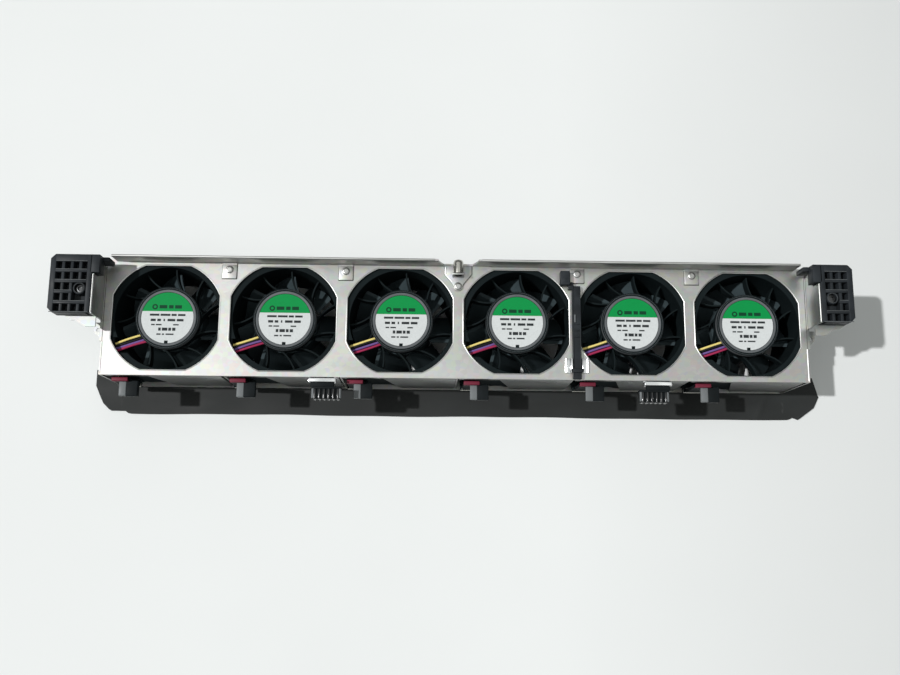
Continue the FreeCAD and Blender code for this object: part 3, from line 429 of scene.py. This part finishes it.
def make_port_rims():
    """Rounded rim of each air port, in a lighter steel that paints a highlight on it."""
    for bay, x in PORT_X.items():
        rim = Piece(f"port_rim_{bay}", "plate_steel")
        path = [(px, py, PLATE_TOP - RIM_INSET) for px, py in port_outline(x, RIM_INSET)]
        rim.tube(path, RIM_RADIUS, "painted_highlight_steel", closed=True)
        rim.done()


def make_plate_edges():
    """Rounded bends of the exhaust plate: the front bend and the right bend's front part carry
    a painted highlight, and behind each end bracket's front the bends carry painted shade.
    """
    edges = Piece("plate_front_bend", "plate_steel")
    y, z = FRONT + BEND_INSET, PLATE_TOP - 0.65
    edges.tube([(-END + 0.5, y, z), (END - 0.5, y, z)], 0.62, "painted_highlight_steel", sides=12)
    edges.done()
    z = PLATE_TOP - BEND_INSET
    for side, sign in SIDES:
        bend = Piece(side + "_plate_bend", "plate_steel")
        x = sign * (END - BEND_INSET)
        bracket_front = span(side + "_end_bracket")[0].y
        # The right bend's front part carries a painted highlight and the left's is plain plate
        # steel; behind the bracket front both carry painted shade.
        bend.tube([(x, FRONT + 0.5, z), (x, bracket_front, z)], 0.7,
                  "painted_highlight_steel" if sign > 0 else "plate_steel", sides=12)
        bend.tube([(x, bracket_front, z), (x, REAR - 3, z)], 0.6, "seam_shade", sides=12)
        bend.done()


def make_lip_bead():
    """Rounded top edge of the rear lip, open at the guide pin's notch, with a painted
    highlight on it.
    """
    bead = Piece("lip_bead", "plate_steel")
    y = LIP_BACK - 0.5
    notch_top, notch_side = 13, 11.2
    for _, sign in SIDES:
        bead.tube([(sign * LIP_END, y, LIP_TOP - 0.5), (sign * notch_top, y, LIP_TOP - 0.5),
                   (sign * notch_side, y, LIP_TOP - 2.2)], 0.75, "painted_highlight_steel", sides=12)
    bead.done()


BRACKET_SHEET = 1.2
TAB_BAYS = (1, 2, 4, 5)
TAB_SHIFT = 2
TAB_HALF, SEAM_HALF = 3.95, 4.2
TAB_RISE = 0.86
RIVET_INSET = 4
RIVET_HEAD = 2.1
LUG_FRONT, LUG_BACK = 24.2, 25.4
RIVET_DOME = [(2.35, 0.0), (2.35, 0.15), (2.1, 0.2), (2.0, 0.75), (1.7, 1.0), (1.2, 1.08),
              (1.05, 0.86), (0.5, 0.84), (0, 0.9)]


def make_tabs_and_rivets():
    """Riveted tabs with painted shade in a thin dark strip around them, and hollow heads on
    all the rivets.
    """
    rivets = Piece("rivet_heads", "rivet_steel")
    tabs = Piece("tab_faces", "plate_steel")
    for bay in TAB_BAYS:
        x = DIVIDER_X[bay] + TAB_SHIFT
        # A dark sheet a little larger than each tab: painted shade in the gap around it.
        tabs.box((x - SEAM_HALF, REAR - 9.3, PLATE_TOP - 0.1),
                 (x + SEAM_HALF, REAR - 1, PLATE_TOP + 0.04), "seam_shade", 0.0)
        tabs.box((x - TAB_HALF, REAR - 9.05, PLATE_TOP - 0.1),
                 (x + TAB_HALF, REAR - 1, PLATE_TOP + TAB_RISE), "plate_steel", 0.3, 3)
        rivets.lathe(RIVET_DOME, (x, REAR - RIVET_INSET, PLATE_TOP + 0.84), "rivet_steel")
    centre = (0, span("rivets")[0].y + RIVET_HEAD, span("pin_bracket")[0].z + BRACKET_SHEET)
    rivets.lathe(RIVET_DOME, centre, "rivet_steel")
    rivets.lathe([(1.5, 0), (1.5, -1.2), (0, -1.2)], centre, "rivet_steel", turns=16)
    rivets.done("rivets")
    tabs.done()


def make_pin_bracket():
    """Tapered bracket with its lug, and the turned guide pin that the lug holds."""
    low, high = span("pin_bracket")
    top = low.z + BRACKET_SHEET
    bracket = Piece("pin_bracket_sheet", "bracket_steel")
    outline = [(-7.7, high.y), (-7.7, high.y - 5), (-3.35, low.y + 3.35), (-1.7, low.y),
               (1.7, low.y), (3.35, low.y + 3.35), (7.7, high.y - 5), (7.7, high.y)]
    bracket.prism(outline, low.z, top, "bracket_steel", 0.4, steps=3)
    bracket.box((-3.35, LUG_FRONT, top - 0.6), (3.35, LUG_BACK, top + 6.5),
                "bracket_steel", 0.4)
    # A lighter steel tube along the bracket's edge: a painted highlight.
    bracket.tube([(-6.9, high.y - 1, top), (-6.9, high.y - 5.2, top),
                  (-3.0, low.y + 4.2, top)], 0.3, "painted_highlight_steel")
    bracket.done("pin_bracket")
    pin_low, pin_high = span("guide_pin")
    centre = ((pin_low.x + pin_high.x) / 2, 0, (pin_low.z + pin_high.z) / 2)
    profile = [(0, LUG_FRONT), (2.2, LUG_FRONT), (2.2, LUG_BACK), (2.8, 25.45), (2.8, 31.0),
               (2.62, 32.0), (2.1, 32.75), (1.2, 33.12), (0, 33.2)]
    pin = Piece("guide_pin_turned", "pin_steel")
    pin.lathe(profile, centre, "pin_steel", "Y", 40)
    pin.done("guide_pin")


def make_end_bracket_edges():
    """Painted highlight along the top of each end bracket's upright, as a lighter steel tube.
    """
    for side, sign in SIDES:
        high = span(side + "_end_bracket")[1]
        block_low = span(side + "_guide_block")[0].y
        edge = Piece(side + "_bracket_edge", "bracket_steel")
        x = sign * (END + 0.5)
        edge.tube([(x, block_low + 0.4, high.z - 0.3), (x, 18.8, high.z - 0.3)], 0.55,
                  "painted_highlight_steel", sides=10)
        edge.done()


SCREW_HEAD = 2.4


def make_guide_block(side, sign):
    """Moulded block: a base, walls and ribs around the cells, a boss, and the arm."""
    low, high = span(side + "_guide_block")
    inner, outer = END + 1, max(-low.x, high.x)
    block = Piece(side + "_guide_block_ribs", "block_plastic")
    floor = high.z - 6
    first, top = inner + 2.5, high.y - 4
    wide, tall, pitch_x, pitch_y = 2.9, 3.9, 4.5, 5.75
    columns = round((outer - 2.5 - first) / pitch_x)
    edge = first + pitch_x * (columns - 1) + wide
    bevel = 2.4

    def wall(x0, x1, y0, y1, z0, z1, round_by=0.3):
        xs = sorted((sign * x0, sign * x1))
        block.box((xs[0], y0, z0), (xs[1], y1, z1), "block_plastic", round_by)

    def side_strip(start, z0, z1):
        outline = [(start, low.y), (outer - bevel, low.y), (outer, low.y + bevel),
                   (outer, high.y - bevel), (outer - bevel, high.y), (start, high.y)]
        block.prism([(sign * x, y) for x, y in outline], z0, z1, "block_plastic", 0.3)

    side_strip(inner, high.z - 9, floor + 0.2)
    side_strip(edge, floor, high.z)
    wall(inner, first, low.y, high.y, floor, high.z)
    wall(inner + 0.5, edge + 0.5, top, high.y, floor, high.z - 0.03)
    wall(inner + 0.5, edge + 0.5, low.y, low.y + 0.8, floor, high.z - 0.03)
    lines = [(inner + 0.6, outer - 1, low.y + 0.35), (first, edge, top + 0.3)]
    for row in range(4):
        y = top - pitch_y * row - tall
        start = first + pitch_x + wide if row == 2 else first
        wall(start - 0.4, edge + 0.4, y - (pitch_y - tall), y, floor, high.z - 0.05)
        lines.append((start, edge, y - 0.3))
    for column in range(columns - 1):
        x = first + pitch_x * column + wide
        spans = ((low.y + 0.5, top + 0.5),)
        if column == 0:
            spans = ((low.y + 0.5, top - pitch_y * 3 - tall),
                     (top - pitch_y * 2, top + 0.5))
        for y0, y1 in spans:
            wall(x, x + pitch_x - wide, y0, y1, floor, high.z - 0.6)
    # Thin lighter tubes on the rib tops: painted highlights.
    for x0, x1, y in lines:
        block.tube([(sign * x0, y, high.z - 0.12), (sign * x1, y, high.z - 0.12)], 0.2,
                   "painted_highlight_plastic", sides=6)
    screw_low, screw_high = span("block_screws")
    centre = (sign * (screw_high.x - SCREW_HEAD), (screw_low.y + screw_high.y) / 2, 0)
    boss = [(0, floor - 1), (3.3, floor - 1), (3.3, high.z - 0.9), (3.0, high.z - 0.6),
            (2.8, high.z - 0.6), (2.6, high.z - 0.9), (2.6, high.z - 4), (0, high.z - 4)]
    block.lathe(boss, centre, "block_plastic")
    # A thin lighter ring on the boss's inner edge: a painted highlight.
    block.lathe([(2.72, high.z - 0.62), (2.62, high.z - 0.5), (2.5, high.z - 0.62),
                 (2.62, high.z - 0.8), (2.72, high.z - 0.62)], centre, "painted_highlight_plastic")
    hook = END - 0.5
    wall(inner - 7, hook, high.y - 2.4, high.y, low.z, low.z + 10.4)
    wall(hook - 2.4, inner + 1, high.y - 9.8, high.y, low.z + 8, high.z)
    block.done(side + "_guide_block")


def make_screws():
    """Screws sunk in the blocks' bosses, each with a round head and a hollow in it."""
    low, high = span("block_screws")
    screws = Piece("screw_heads", "screw_steel")
    for _, sign in SIDES:
        centre = (sign * (high.x - SCREW_HEAD), (low.y + high.y) / 2, 0)
        head = high.z - 1.8
        screws.lathe([(0, low.z), (1.5, low.z), (1.5, head), (SCREW_HEAD, head),
                      (SCREW_HEAD, head + 1.2),
                      (2.1, head + 1.7), (1.2, head + 1.8), (1.05, head + 0.9),
                      (0, head + 0.9)], centre, "screw_steel", turns=36)
    screws.done("block_screws")


# --- the air seal ----------------------------------------------------------------------------

FLAP_STATIONS = 260
FLAP_LEVELS = 14
FLAP_SHEET = 0.75
FLAP_LEVEL = 0.82


def flap_edge(x, left, right, front):
    """Front edge of the seal: slanted ends, a small step near each, and a slack line."""
    bevel, step = 9.2, 1.5
    corners = [(left, front + 16), (left + bevel / 2, front + bevel / 2 + step),
               (left + bevel, front + step), (left + bevel * 2, front + step),
               (left + bevel * 2 + step, front), (right - bevel * 2, front),
               (right - bevel * 2 + step, front + step), (right - bevel * 1.4, front),
               (right - bevel / 3, front + bevel * 0.8), (right, front + bevel * 1.5)]
    for (x0, y0), (x1, y1) in zip(corners, corners[1:]):
        if x <= x1:
            y = y0 + (y1 - y0) * (x - x0) / (x1 - x0)
            break
    slack = 0.25 + 0.2 * math.sin(x / 23) + 0.12 * math.sin(x / 8.1 + 1)
    return y + slack - 0.3 * math.exp(-((x - 165) / 22) ** 2)


def make_flap():
    """Flexible strip with a slack front edge, a step near each end and one crease."""
    low, high = span("air_seal_flap")
    flap = Piece("air_seal_sheet", "flap_film")
    deep, skip = FLAP_LEVELS, 0.01
    stations = [low.x + (high.x - low.x) * step / FLAP_STATIONS
                for step in range(FLAP_STATIONS + 1)]
    stations += [-END, -END + skip, END - skip, END]
    grid = []
    for x in sorted(stations):
        back = high.y if abs(x) >= END else FRONT
        back -= max(0.0, x - high.x + 3.1) * 3.8
        front = flap_edge(x, low.x, high.x, low.y)
        row = []
        for level in range(deep + 1):
            y = back + (front - back) * level / deep
            fade = min(1.0, max(0.0, (FRONT + 2 - y) / 12))
            wave = 0.3 * math.sin(x / 17 + y / 9) + 0.2 * math.sin(x / 5.7 - y / 6)
            fold = abs((x - high.x + 31) - (y - FRONT) * 0.42)
            crease = 0.55 * max(0.0, 1 - fold / 2.2)
            row.append((x, y, FLAP_LEVEL + (wave + crease) * fade * 0.7))
        grid.append(row)
    mesh = flap.mesh
    top, bottom = [[[mesh.verts.new((x, y, max(z - drop, 0.02))) for x, y, z in row]
                    for row in grid] for drop in (0.0, FLAP_SHEET)]
    across = len(grid) - 1
    for column in range(across):
        for level in range(deep):
            for layer in (top, bottom):
                mesh.faces.new((layer[column][level], layer[column + 1][level],
                                layer[column + 1][level + 1], layer[column][level + 1]))
    loop = [(column, 0) for column in range(across)]
    loop += [(across, level) for level in range(deep)]
    loop += [(column, deep) for column in range(across, 0, -1)]
    loop += [(0, level) for level in range(deep, 0, -1)]
    for (a, b), (c, e) in zip(loop, loop[1:] + loop[:1]):
        mesh.faces.new((top[a][b], top[c][e], bottom[c][e], bottom[a][b]))
    bmesh.ops.recalc_face_normals(mesh, faces=mesh.faces[:])
    flap.paint("flap_film", mesh.faces[:])
    flap.done("air_seal_flap")


# --- buttons, clips and the cable guide ----------------------------------------------------

CLIP_HALF = 7.5
CLIP_SHEET = 0.8
CLIP_DEPTH = 2.3
BUTTON_HALF = 8
RIB_PITCH = 2.5
RIB_COUNT = 6
BUTTON_DEPTH = 7.2


def make_buttons():
    """Two ribbed buttons, each sliding in a bright steel clip."""
    clip_low, clip_high = span("latch_clips")
    clips = Piece("clip_sheets", "clip_chrome")
    for side, sign in SIDES:
        x = clip_low.x + CLIP_HALF if sign < 0 else clip_high.x - CLIP_HALF
        front, back, base, roof = clip_low.y, clip_low.y + CLIP_DEPTH, clip_low.z, clip_high.z
        clips.box((x - CLIP_HALF, front, base), (x + CLIP_HALF, clip_high.y,
                  base + CLIP_SHEET), "clip_chrome", 0.25)
        clips.box((x - CLIP_HALF, front, roof - CLIP_SHEET), (x + CLIP_HALF, back, roof),
                  "clip_chrome", 0.35, 3)
        for edge in (-CLIP_HALF, 6.7):
            clips.box((x + edge, front, base + 0.2), (x + edge + CLIP_SHEET, back, roof),
                      "clip_chrome", 0.3)
        low, high = span(side + "_latch_button")
        middle = high.x - BUTTON_HALF if sign < 0 else low.x + BUTTON_HALF
        head_back = low.y + BUTTON_DEPTH
        button = Piece(side + "_button_ribs", "latch_plastic", side + "_button")
        button.box((middle - 7.6, low.y + 0.5, low.z), (middle + 7.6, head_back, high.z - 1.2),
                   "latch_plastic", 0.4)
        for index in range(RIB_COUNT):
            rib = middle + RIB_PITCH * (index - (RIB_COUNT - 1) / 2)
            button.box((rib - 0.75, low.y + 0.1, low.z + 0.4),
                       (rib + 0.75, head_back - 1, high.z - 0.1), "gloss_plastic", 0.6, 4)
        button.box((middle - BUTTON_HALF, head_back - 1.3, low.z),
                   (middle + BUTTON_HALF, head_back, high.z - 0.3), "latch_plastic", 0.4)
        for end in (-1, 1):
            button.tube([(middle + end * 7.2, low.y + 1.0, high.z - 1.1),
                         (middle + end * 7.2, head_back - 1.2, high.z - 1.1)], 0.8,
                        "prong_plastic", sides=12)
        button.box((x - 6.4, head_back - 0.2, clip_low.z + 1.1),
                   (x + 6.4, high.y, clip_high.z - 1.1), "latch_plastic", 0.3)
        button.done(side + "_latch_button")
    clips.done("latch_clips")


BAR_HALF = 2.4
BAR_RISE = 3
HEAD_LENGTH = 8


def make_cable_guide():
    """Ribbed bar across the plate with a block at its rear end, and its bright strap."""
    low, high = span("cable_bar")
    x = high.x - BAR_HALF
    top = PLATE_TOP + BAR_RISE
    bar = Piece("cable_bar_ribs", "block_plastic")
    black = "block_plastic"
    bar.box((x - BAR_HALF, FRONT, PLATE_TOP), (x + BAR_HALF, high.y - HEAD_LENGTH, top - 0.4),
            black, 0.5, 3)
    for edge in (-2.3, 1.6):
        bar.box((x + edge, FRONT + 0.5, top - 1), (x + edge + 0.7, high.y - 8.6, top), black,
                0.25)
    for index in range(3):
        y = -2 - 3.5 * index
        bar.box((x - 1.5, y, top - 0.8), (x + 1.5, y + 0.9, top + 0.3), black, 0.3)
    # A short lighter tube on the bar's top: a painted highlight.
    bar.tube([(x - 1, 3.6, top), (x - 1, -0.6, top)], 0.5, "hub_plastic")
    block_right = x - 3.5
    bar.box((low.x, high.y - HEAD_LENGTH, PLATE_TOP), (block_right, high.y, high.z), black,
            0.6, 3)
    bar.box((low.x + 1.2, high.y - 6.5, high.z - 0.8),
            (block_right - 1.2, high.y - 3.9, high.z + 0.1), black, 0.3)
    bar.box((block_right - 1, high.y - 10, PLATE_TOP), (x - 1.4, high.y - 6, top - 0.1),
            black, 0.3)
    bar.done("cable_bar")
    low, high = span("cable_clip")
    strap = Piece("cable_strap", "clip_chrome")
    bright = "clip_chrome"
    roof = high.z
    strap.box((x - 3.4, low.y, roof - 0.8), (x + 3.4, low.y + 2.2, roof), black, 0.3)
    for _, sign in SIDES:
        xs = sorted((x + sign * 2.6, x + sign * 3.4))
        strap.box((xs[0], low.y, PLATE_TOP), (xs[1], high.y, roof), bright, 0.3)
        feet = sorted((x + sign * 2.7, x + sign * 6.6))
        strap.box((feet[0], low.y, PLATE_TOP), (feet[1], high.y, PLATE_TOP + 0.8), bright, 0.3)
        loop_x = x + sign * 5.9
        strap.tube([(loop_x, low.y + 0.3, PLATE_TOP + 0.8), (loop_x, high.y, PLATE_TOP + 0.9)],
                   0.6, bright)
    strap.done("cable_clip")


# --- each fan --------------------------------------------------------------------------------

def make_hub(bay, x):
    """Turned rim around the label, with a keyhole at the bottom."""
    hub = Piece(f"fan_{bay}_hub_rim", "fan_plastic", f"fan_{bay}")
    top = HUB_TOP
    profile = [(14.35, top - 0.32), (14.45, top + 0.02), (14.8, top + 0.1), (15.6, top + 0.1),
               (15.9, top - 0.15), (16.3, top - 0.18), (16.6, top + 0.02), (17.1, top - 0.1),
               (17.35, top - 0.6), (17.35, top - 2.5), (17.1, top - 2.5), (14.35, top - 0.8),
               (14.35, top - 0.32)]
    hub.lathe(profile, (x, 0, 0), "hub_plastic", turns=72)
    hub.done()


LABEL_RADIUS = 14.2
LABEL_FILM = 0.22
NOTCH_HALF = 1.0
GREEN_LINE = 3.6


def label_outline():
    """Round label with a small notch at the bottom."""
    gap = math.asin(NOTCH_HALF / LABEL_RADIUS)
    first, last = -math.pi / 2 + gap, 1.5 * math.pi - gap
    steps = 72
    points = [(LABEL_RADIUS * math.cos(first + (last - first) * step / steps),
               LABEL_RADIUS * math.sin(first + (last - first) * step / steps))
              for step in range(steps + 1)]
    inner = -LABEL_RADIUS + 1.5
    return points + [(-NOTCH_HALF, inner), (NOTCH_HALF, inner)]


# The bars of each printed row: its height on the label, its thickness and its bars' ends.
INK_ROWS = (
    (1.6, 1.15, ((-9.6, -4.4), (-3.8, 1.6), (2.2, 5.0), (5.7, 9.8))),
    (-1.3, 1.35, ((-9.0, -6.2), (-5.4, -3.4), (-2.0, -1.2), (0.2, 4.4), (5.2, 8.9))),
    (-3.9, 0.75, ((-8.6, -6.6), (-6.0, -2.9), (3.4, 6.4))),
    (-6.4, 1.7, ((-4.6, -3.2), (-2.6, 0.4), (0.9, 2.4), (3.0, 4.8))),
    (-9.2, 0.8, ((-5.4, -3.1), (-2.4, -1.2), (-0.4, 3.9))),
)


def make_label(bay, x):
    """Generic label: a green field over white, with neutral bars where print would be."""
    label = Piece(f"fan_{bay}_label_film", "fan_label", f"fan_{bay}")
    seat = span(f"fan_{bay}_label")[0].z
    top = seat + LABEL_FILM
    outline = label_outline()
    upper = [point for point in outline if point[1] >= GREEN_LINE]
    edge = math.sqrt(LABEL_RADIUS ** 2 - GREEN_LINE ** 2)
    upper = [(edge, GREEN_LINE)] + upper + [(-edge, GREEN_LINE)]
    right = [point for point in outline[:-2] if point[1] < GREEN_LINE and point[0] > 0]
    left = [point for point in outline[:-2] if point[1] < GREEN_LINE and point[0] < 0]
    lower = right + [(edge, GREEN_LINE), (-edge, GREEN_LINE)] + left + outline[-2:]
    for points, colour in ((upper, "label_green"), (lower, "label_white")):
        label.prism([(x + px, py) for px, py in points], seat, top, colour, 0.0)
    for y, tall, spans in INK_ROWS:
        for first, last in spans:
            label.box((x + first, y - tall / 2, top - 0.05),
                      (x + last, y + tall / 2, top + 0.015), "label_ink", 0.0)
    label.lathe([(1.55, top + 0.02), (0.75, top + 0.02), (0.75, top - 0.05),
                 (1.55, top - 0.05), (1.55, top + 0.02)], (x - 7.0, 6.1, 0),
                "label_ink_green", turns=24)
    for first, last in ((-4.6, -0.4), (0.6, 3.0), (3.9, 7.6)):
        label.box((x + first, 5.2, top - 0.05), (x + last, 7.1, top + 0.015),
                  "label_ink_green", 0.0)
    label.done(f"fan_{bay}_label")


WIRE_COLOURS = ("wire_yellow", "wire_black", "wire_violet", "wire_red")
WIRE_RADIUS = 0.65
WIRE_PITCH = 1.45
WIRE_LEAN = 19
WIRE_SINK = 3.4
WIRE_STEPS = 12
HUB_EXIT_X, HUB_EXIT_Y = 10.6, 8.2


def make_wires(bay, x):
    """Four wires from the motor base to the connector strip, with a little slack."""
    low, high = span(f"fan_{bay}_harness")
    level = HUB_TOP - WIRE_SINK
    strip_right = low.x + 1.2
    wires = Piece(f"fan_{bay}_wires", "wire_set", f"fan_{bay}")
    run = x - HUB_EXIT_X - strip_right
    for number, colour in enumerate(WIRE_COLOURS):
        start_y = -HUB_EXIT_Y - WIRE_PITCH * number
        path = []
        for step in range(WIRE_STEPS + 1):
            share = step / WIRE_STEPS
            arch = math.sin(math.pi * share)
            sway = 0.3 * arch * math.sin(bay * 2.1 + number * 1.7)
            path.append((x - HUB_EXIT_X - run * share,
                         start_y - run * share * math.tan(math.radians(WIRE_LEAN)) + sway,
                         level + 0.35 * arch * (1 + 0.2 * number)))
        wires.tube(path, WIRE_RADIUS, colour, sides=12)
    wires.box((low.x, low.y, low.z), (strip_right, high.y - 3.6, high.z), "latch_plastic",
              0.25)
    wires.done(f"fan_{bay}_harness")


CAP_SHEET = 0.8
CAP_STRIP = 2.5
CAP_SLANT = (-9.6, -1.1)
CAP_LEGS = (1.9, 24)
# Two pressed pimples on each cap: across from the fan's axis, down from the top, radius.
CAP_MARKS = {
    1: ((12.5, -4.6, 1.1), (21.0, -9.0, 0.8)),
    2: ((13.0, -5.4, 0.9), (22.0, -9.5, 0.8)),
    3: ((12.0, -5.0, 0.9), (21.5, -8.5, 0.8)),
    4: ((14.0, -5.2, 0.9), (22.5, -9.0, 0.8)),
    5: ((-1.0, -5.6, 1.0), (28.5, -5.2, 0.9)),
    6: ((12.0, -5.0, 0.9), (21.0, -9.0, 0.8)),
}


def make_cap(bay, x):
    """Stamped cap: a strip with a rounded fold, a slanted end, two pimples and two legs."""
    low, high = span(f"fan_{bay}_cap")
    cap = Piece(f"fan_{bay}_cap_sheet", "cap_steel", f"fan_{bay}")
    front = low.y
    slant_top, slant_foot = (x + dx for dx in CAP_SLANT)
    outline = [(low.x, high.z - CAP_STRIP), (slant_top, high.z - CAP_STRIP),
               (slant_foot, low.z), (high.x, low.z), (high.x, high.z), (low.x, high.z)]
    cap.prism(outline, front, front + CAP_SHEET, "cap_steel", 0.3, "Y")
    for leg in CAP_LEGS:
        cap.box((x + leg, front + 0.4, low.z + 3), (x + leg + CAP_SHEET, high.y, high.z - 3),
                "cap_steel", 0.2)
    cap.tube([(low.x + 0.3, front + 0.35, high.z - 0.3),
              (high.x - 0.3, front + 0.35, high.z - 0.3)], 0.35, "cap_steel")
    for dx, dz, radius in CAP_MARKS[bay]:
        cap.lathe([(radius, 0.0), (radius * 0.8, -0.22), (radius * 0.55, -0.1), (0, -0.04)],
                  (x + dx, front + 0.02, high.z + dz), "cap_steel", "Y", 24)
    cap.done(f"fan_{bay}_cap")


LATCH_SHIFT = 24.9
LATCH_HALF = 4.4
PIN_HALF = 5.65


def make_thumb_latch(bay, x):
    """Latch arm on its pin, red grip strip, pale finger lever and the block beside it."""
    low, high = span(f"fan_{bay}_latch")
    latch = Piece(f"fan_{bay}_latch_grip", "latch_plastic", f"fan_{bay}_thumb_latch")
    middle = x - LATCH_SHIFT
    back = high.y - 0.2
    out = back - 2
    latch.box((middle - LATCH_HALF, out, low.z), (middle + LATCH_HALF, back, high.z - 0.4),
              "latch_plastic", 0.35)
    latch.box((middle - LATCH_HALF, out - 0.1, high.z - 3.2),
              (middle + LATCH_HALF, back, high.z), "red_plastic", 0.4, 3)
    lever_top = high.z - 2.5
    latch.box((middle - 0.8, low.y + 0.1, lever_top - 2.5), (middle + 3.2, out + 0.5,
              lever_top), "prong_plastic", 0.5, 3)
    latch.box((middle + 3.1, low.y, lever_top - 4), (middle + 9.4, out + 0.5, lever_top),
              "latch_plastic", 0.5, 3)
    latch.lathe([(0, middle - PIN_HALF), (1.0, middle - PIN_HALF), (1.2, middle - 5.45),
                 (1.2, middle + 5.45), (1.0, middle + PIN_HALF), (0, middle + PIN_HALF)],
                (0, out + 1, low.z + 2), "pin_steel", "X", 24)
    latch.done(f"fan_{bay}_latch")


# --- studio ----------------------------------------------------------------------------------

FLOOR_SIZE = 6
FLOOR_TONE = (0.79, 0.805, 0.80)
FLOOR_SHADE_SPAN = 420
SUN_TRAVEL = (0.70, -0.02, -1.0)
SUN_ENERGY = 2.7
SUN_ANGLE = 1.6
SIDE_TONE = (0.13, 0.137, 0.137)
OVERHEAD_TONE = (0.87, 0.90, 0.88)
RIGHT_TONE = (1.45, 1.47, 1.43)
LENS = 40.0
CAMERA_SPOT = (-16.92, -114.4, 583.4)
CAMERA_TURN = (11.042, -1.442, 0.44)


def make_studio():
    """Pale paper floor with painted shade that darkens it on the far right, and a sun high on
    the left.
    """
    bpy.ops.mesh.primitive_plane_add(size=FLOOR_SIZE)
    floor = bpy.context.object
    floor.name = "floor"
    graph = Graph("floor_paper")
    cloud = graph.noise((240, 180, 200), 3)
    paper = graph.ramp(cloud, (0.3, shade(FLOOR_TONE, 0.97)), (0.7, FLOOR_TONE))
    # A gradient along X darkens the floor towards the right: painted shade.
    across = graph.add("ShaderNodeTexGradient")
    graph.link(graph.stretched((FLOOR_SHADE_SPAN,) * 3), across.inputs["Vector"])
    fade = graph.ramp(across.outputs["Fac"], (0.15, 1.0), (0.65, 0.84))
    graph.colour(graph.mix(1.0, paper, fade, "MULTIPLY"))
    graph.set(Roughness=0.8, Specular_IOR_Level=0.1)
    floor.data.materials.append(graph.material)
    lamp = bpy.data.lights.new("window_sun", "SUN")
    lamp.energy = SUN_ENERGY
    lamp.angle = math.radians(SUN_ANGLE)
    sun = bpy.data.objects.new("window_sun", lamp)
    sun.rotation_euler = Vector(SUN_TRAVEL).to_track_quat("-Z", "Y").to_euler()
    bpy.context.scene.collection.objects.link(sun)


def make_world():
    """Soft room: pale overhead, brighter on the right, and dim at the sides."""
    world = bpy.data.worlds.new("room")
    bpy.context.scene.world = world
    world.use_nodes = True
    tree = world.node_tree
    background = tree.nodes["Background"]
    coord = tree.nodes.new("ShaderNodeTexCoord")
    split = tree.nodes.new("ShaderNodeSeparateXYZ")
    tree.links.new(coord.outputs["Generated"], split.inputs["Vector"])

    def blend(axis, low, high, first, second):
        spread = tree.nodes.new("ShaderNodeMapRange")
        spread.inputs["From Min"].default_value = low
        spread.inputs["From Max"].default_value = high
        mix = tree.nodes.new("ShaderNodeMix")
        mix.data_type = "RGBA"
        for value, socket in ((first, mix.inputs[6]), (second, mix.inputs[7])):
            if isinstance(value, tuple):
                socket.default_value = (*value, 1)
            else:
                tree.links.new(value, socket)
        tree.links.new(split.outputs[axis], spread.inputs["Value"])
        tree.links.new(spread.outputs["Result"], mix.inputs[0])
        return mix.outputs[2]

    overhead = blend("X", 0.12, 0.42, OVERHEAD_TONE, RIGHT_TONE)
    room = blend("Z", 0.74, 0.91, SIDE_TONE, overhead)
    tree.links.new(room, background.inputs["Color"])
    background.inputs["Strength"].default_value = 1.0


def make_camera():
    """Camera at the photographer's place, above the row and a little in front of it."""
    data = bpy.data.cameras.new("camera")
    data.lens = LENS
    data.sensor_width = 36.0
    data.clip_start = 0.01
    camera = bpy.data.objects.new("camera", data)
    camera.location = Vector(CAMERA_SPOT) * MM
    camera.rotation_euler = [math.radians(angle) for angle in CAMERA_TURN]
    bpy.context.scene.collection.objects.link(camera)
    bpy.context.scene.camera = camera
    bpy.context.scene.view_settings.view_transform = "Standard"


dress_nodes()
make_port_rims()
make_plate_edges()
make_lip_bead()
make_tabs_and_rivets()
make_pin_bracket()
make_end_bracket_edges()
for block_side, block_sign in SIDES:
    make_guide_block(block_side, block_sign)
make_screws()
make_flap()
make_buttons()
make_cable_guide()
for bay_number, bay_x in FAN_X.items():
    make_hub(bay_number, bay_x)
    make_label(bay_number, bay_x)
    make_wires(bay_number, bay_x)
    make_cap(bay_number, bay_x)
    make_thumb_latch(bay_number, bay_x)
make_studio()
make_world()
make_camera()
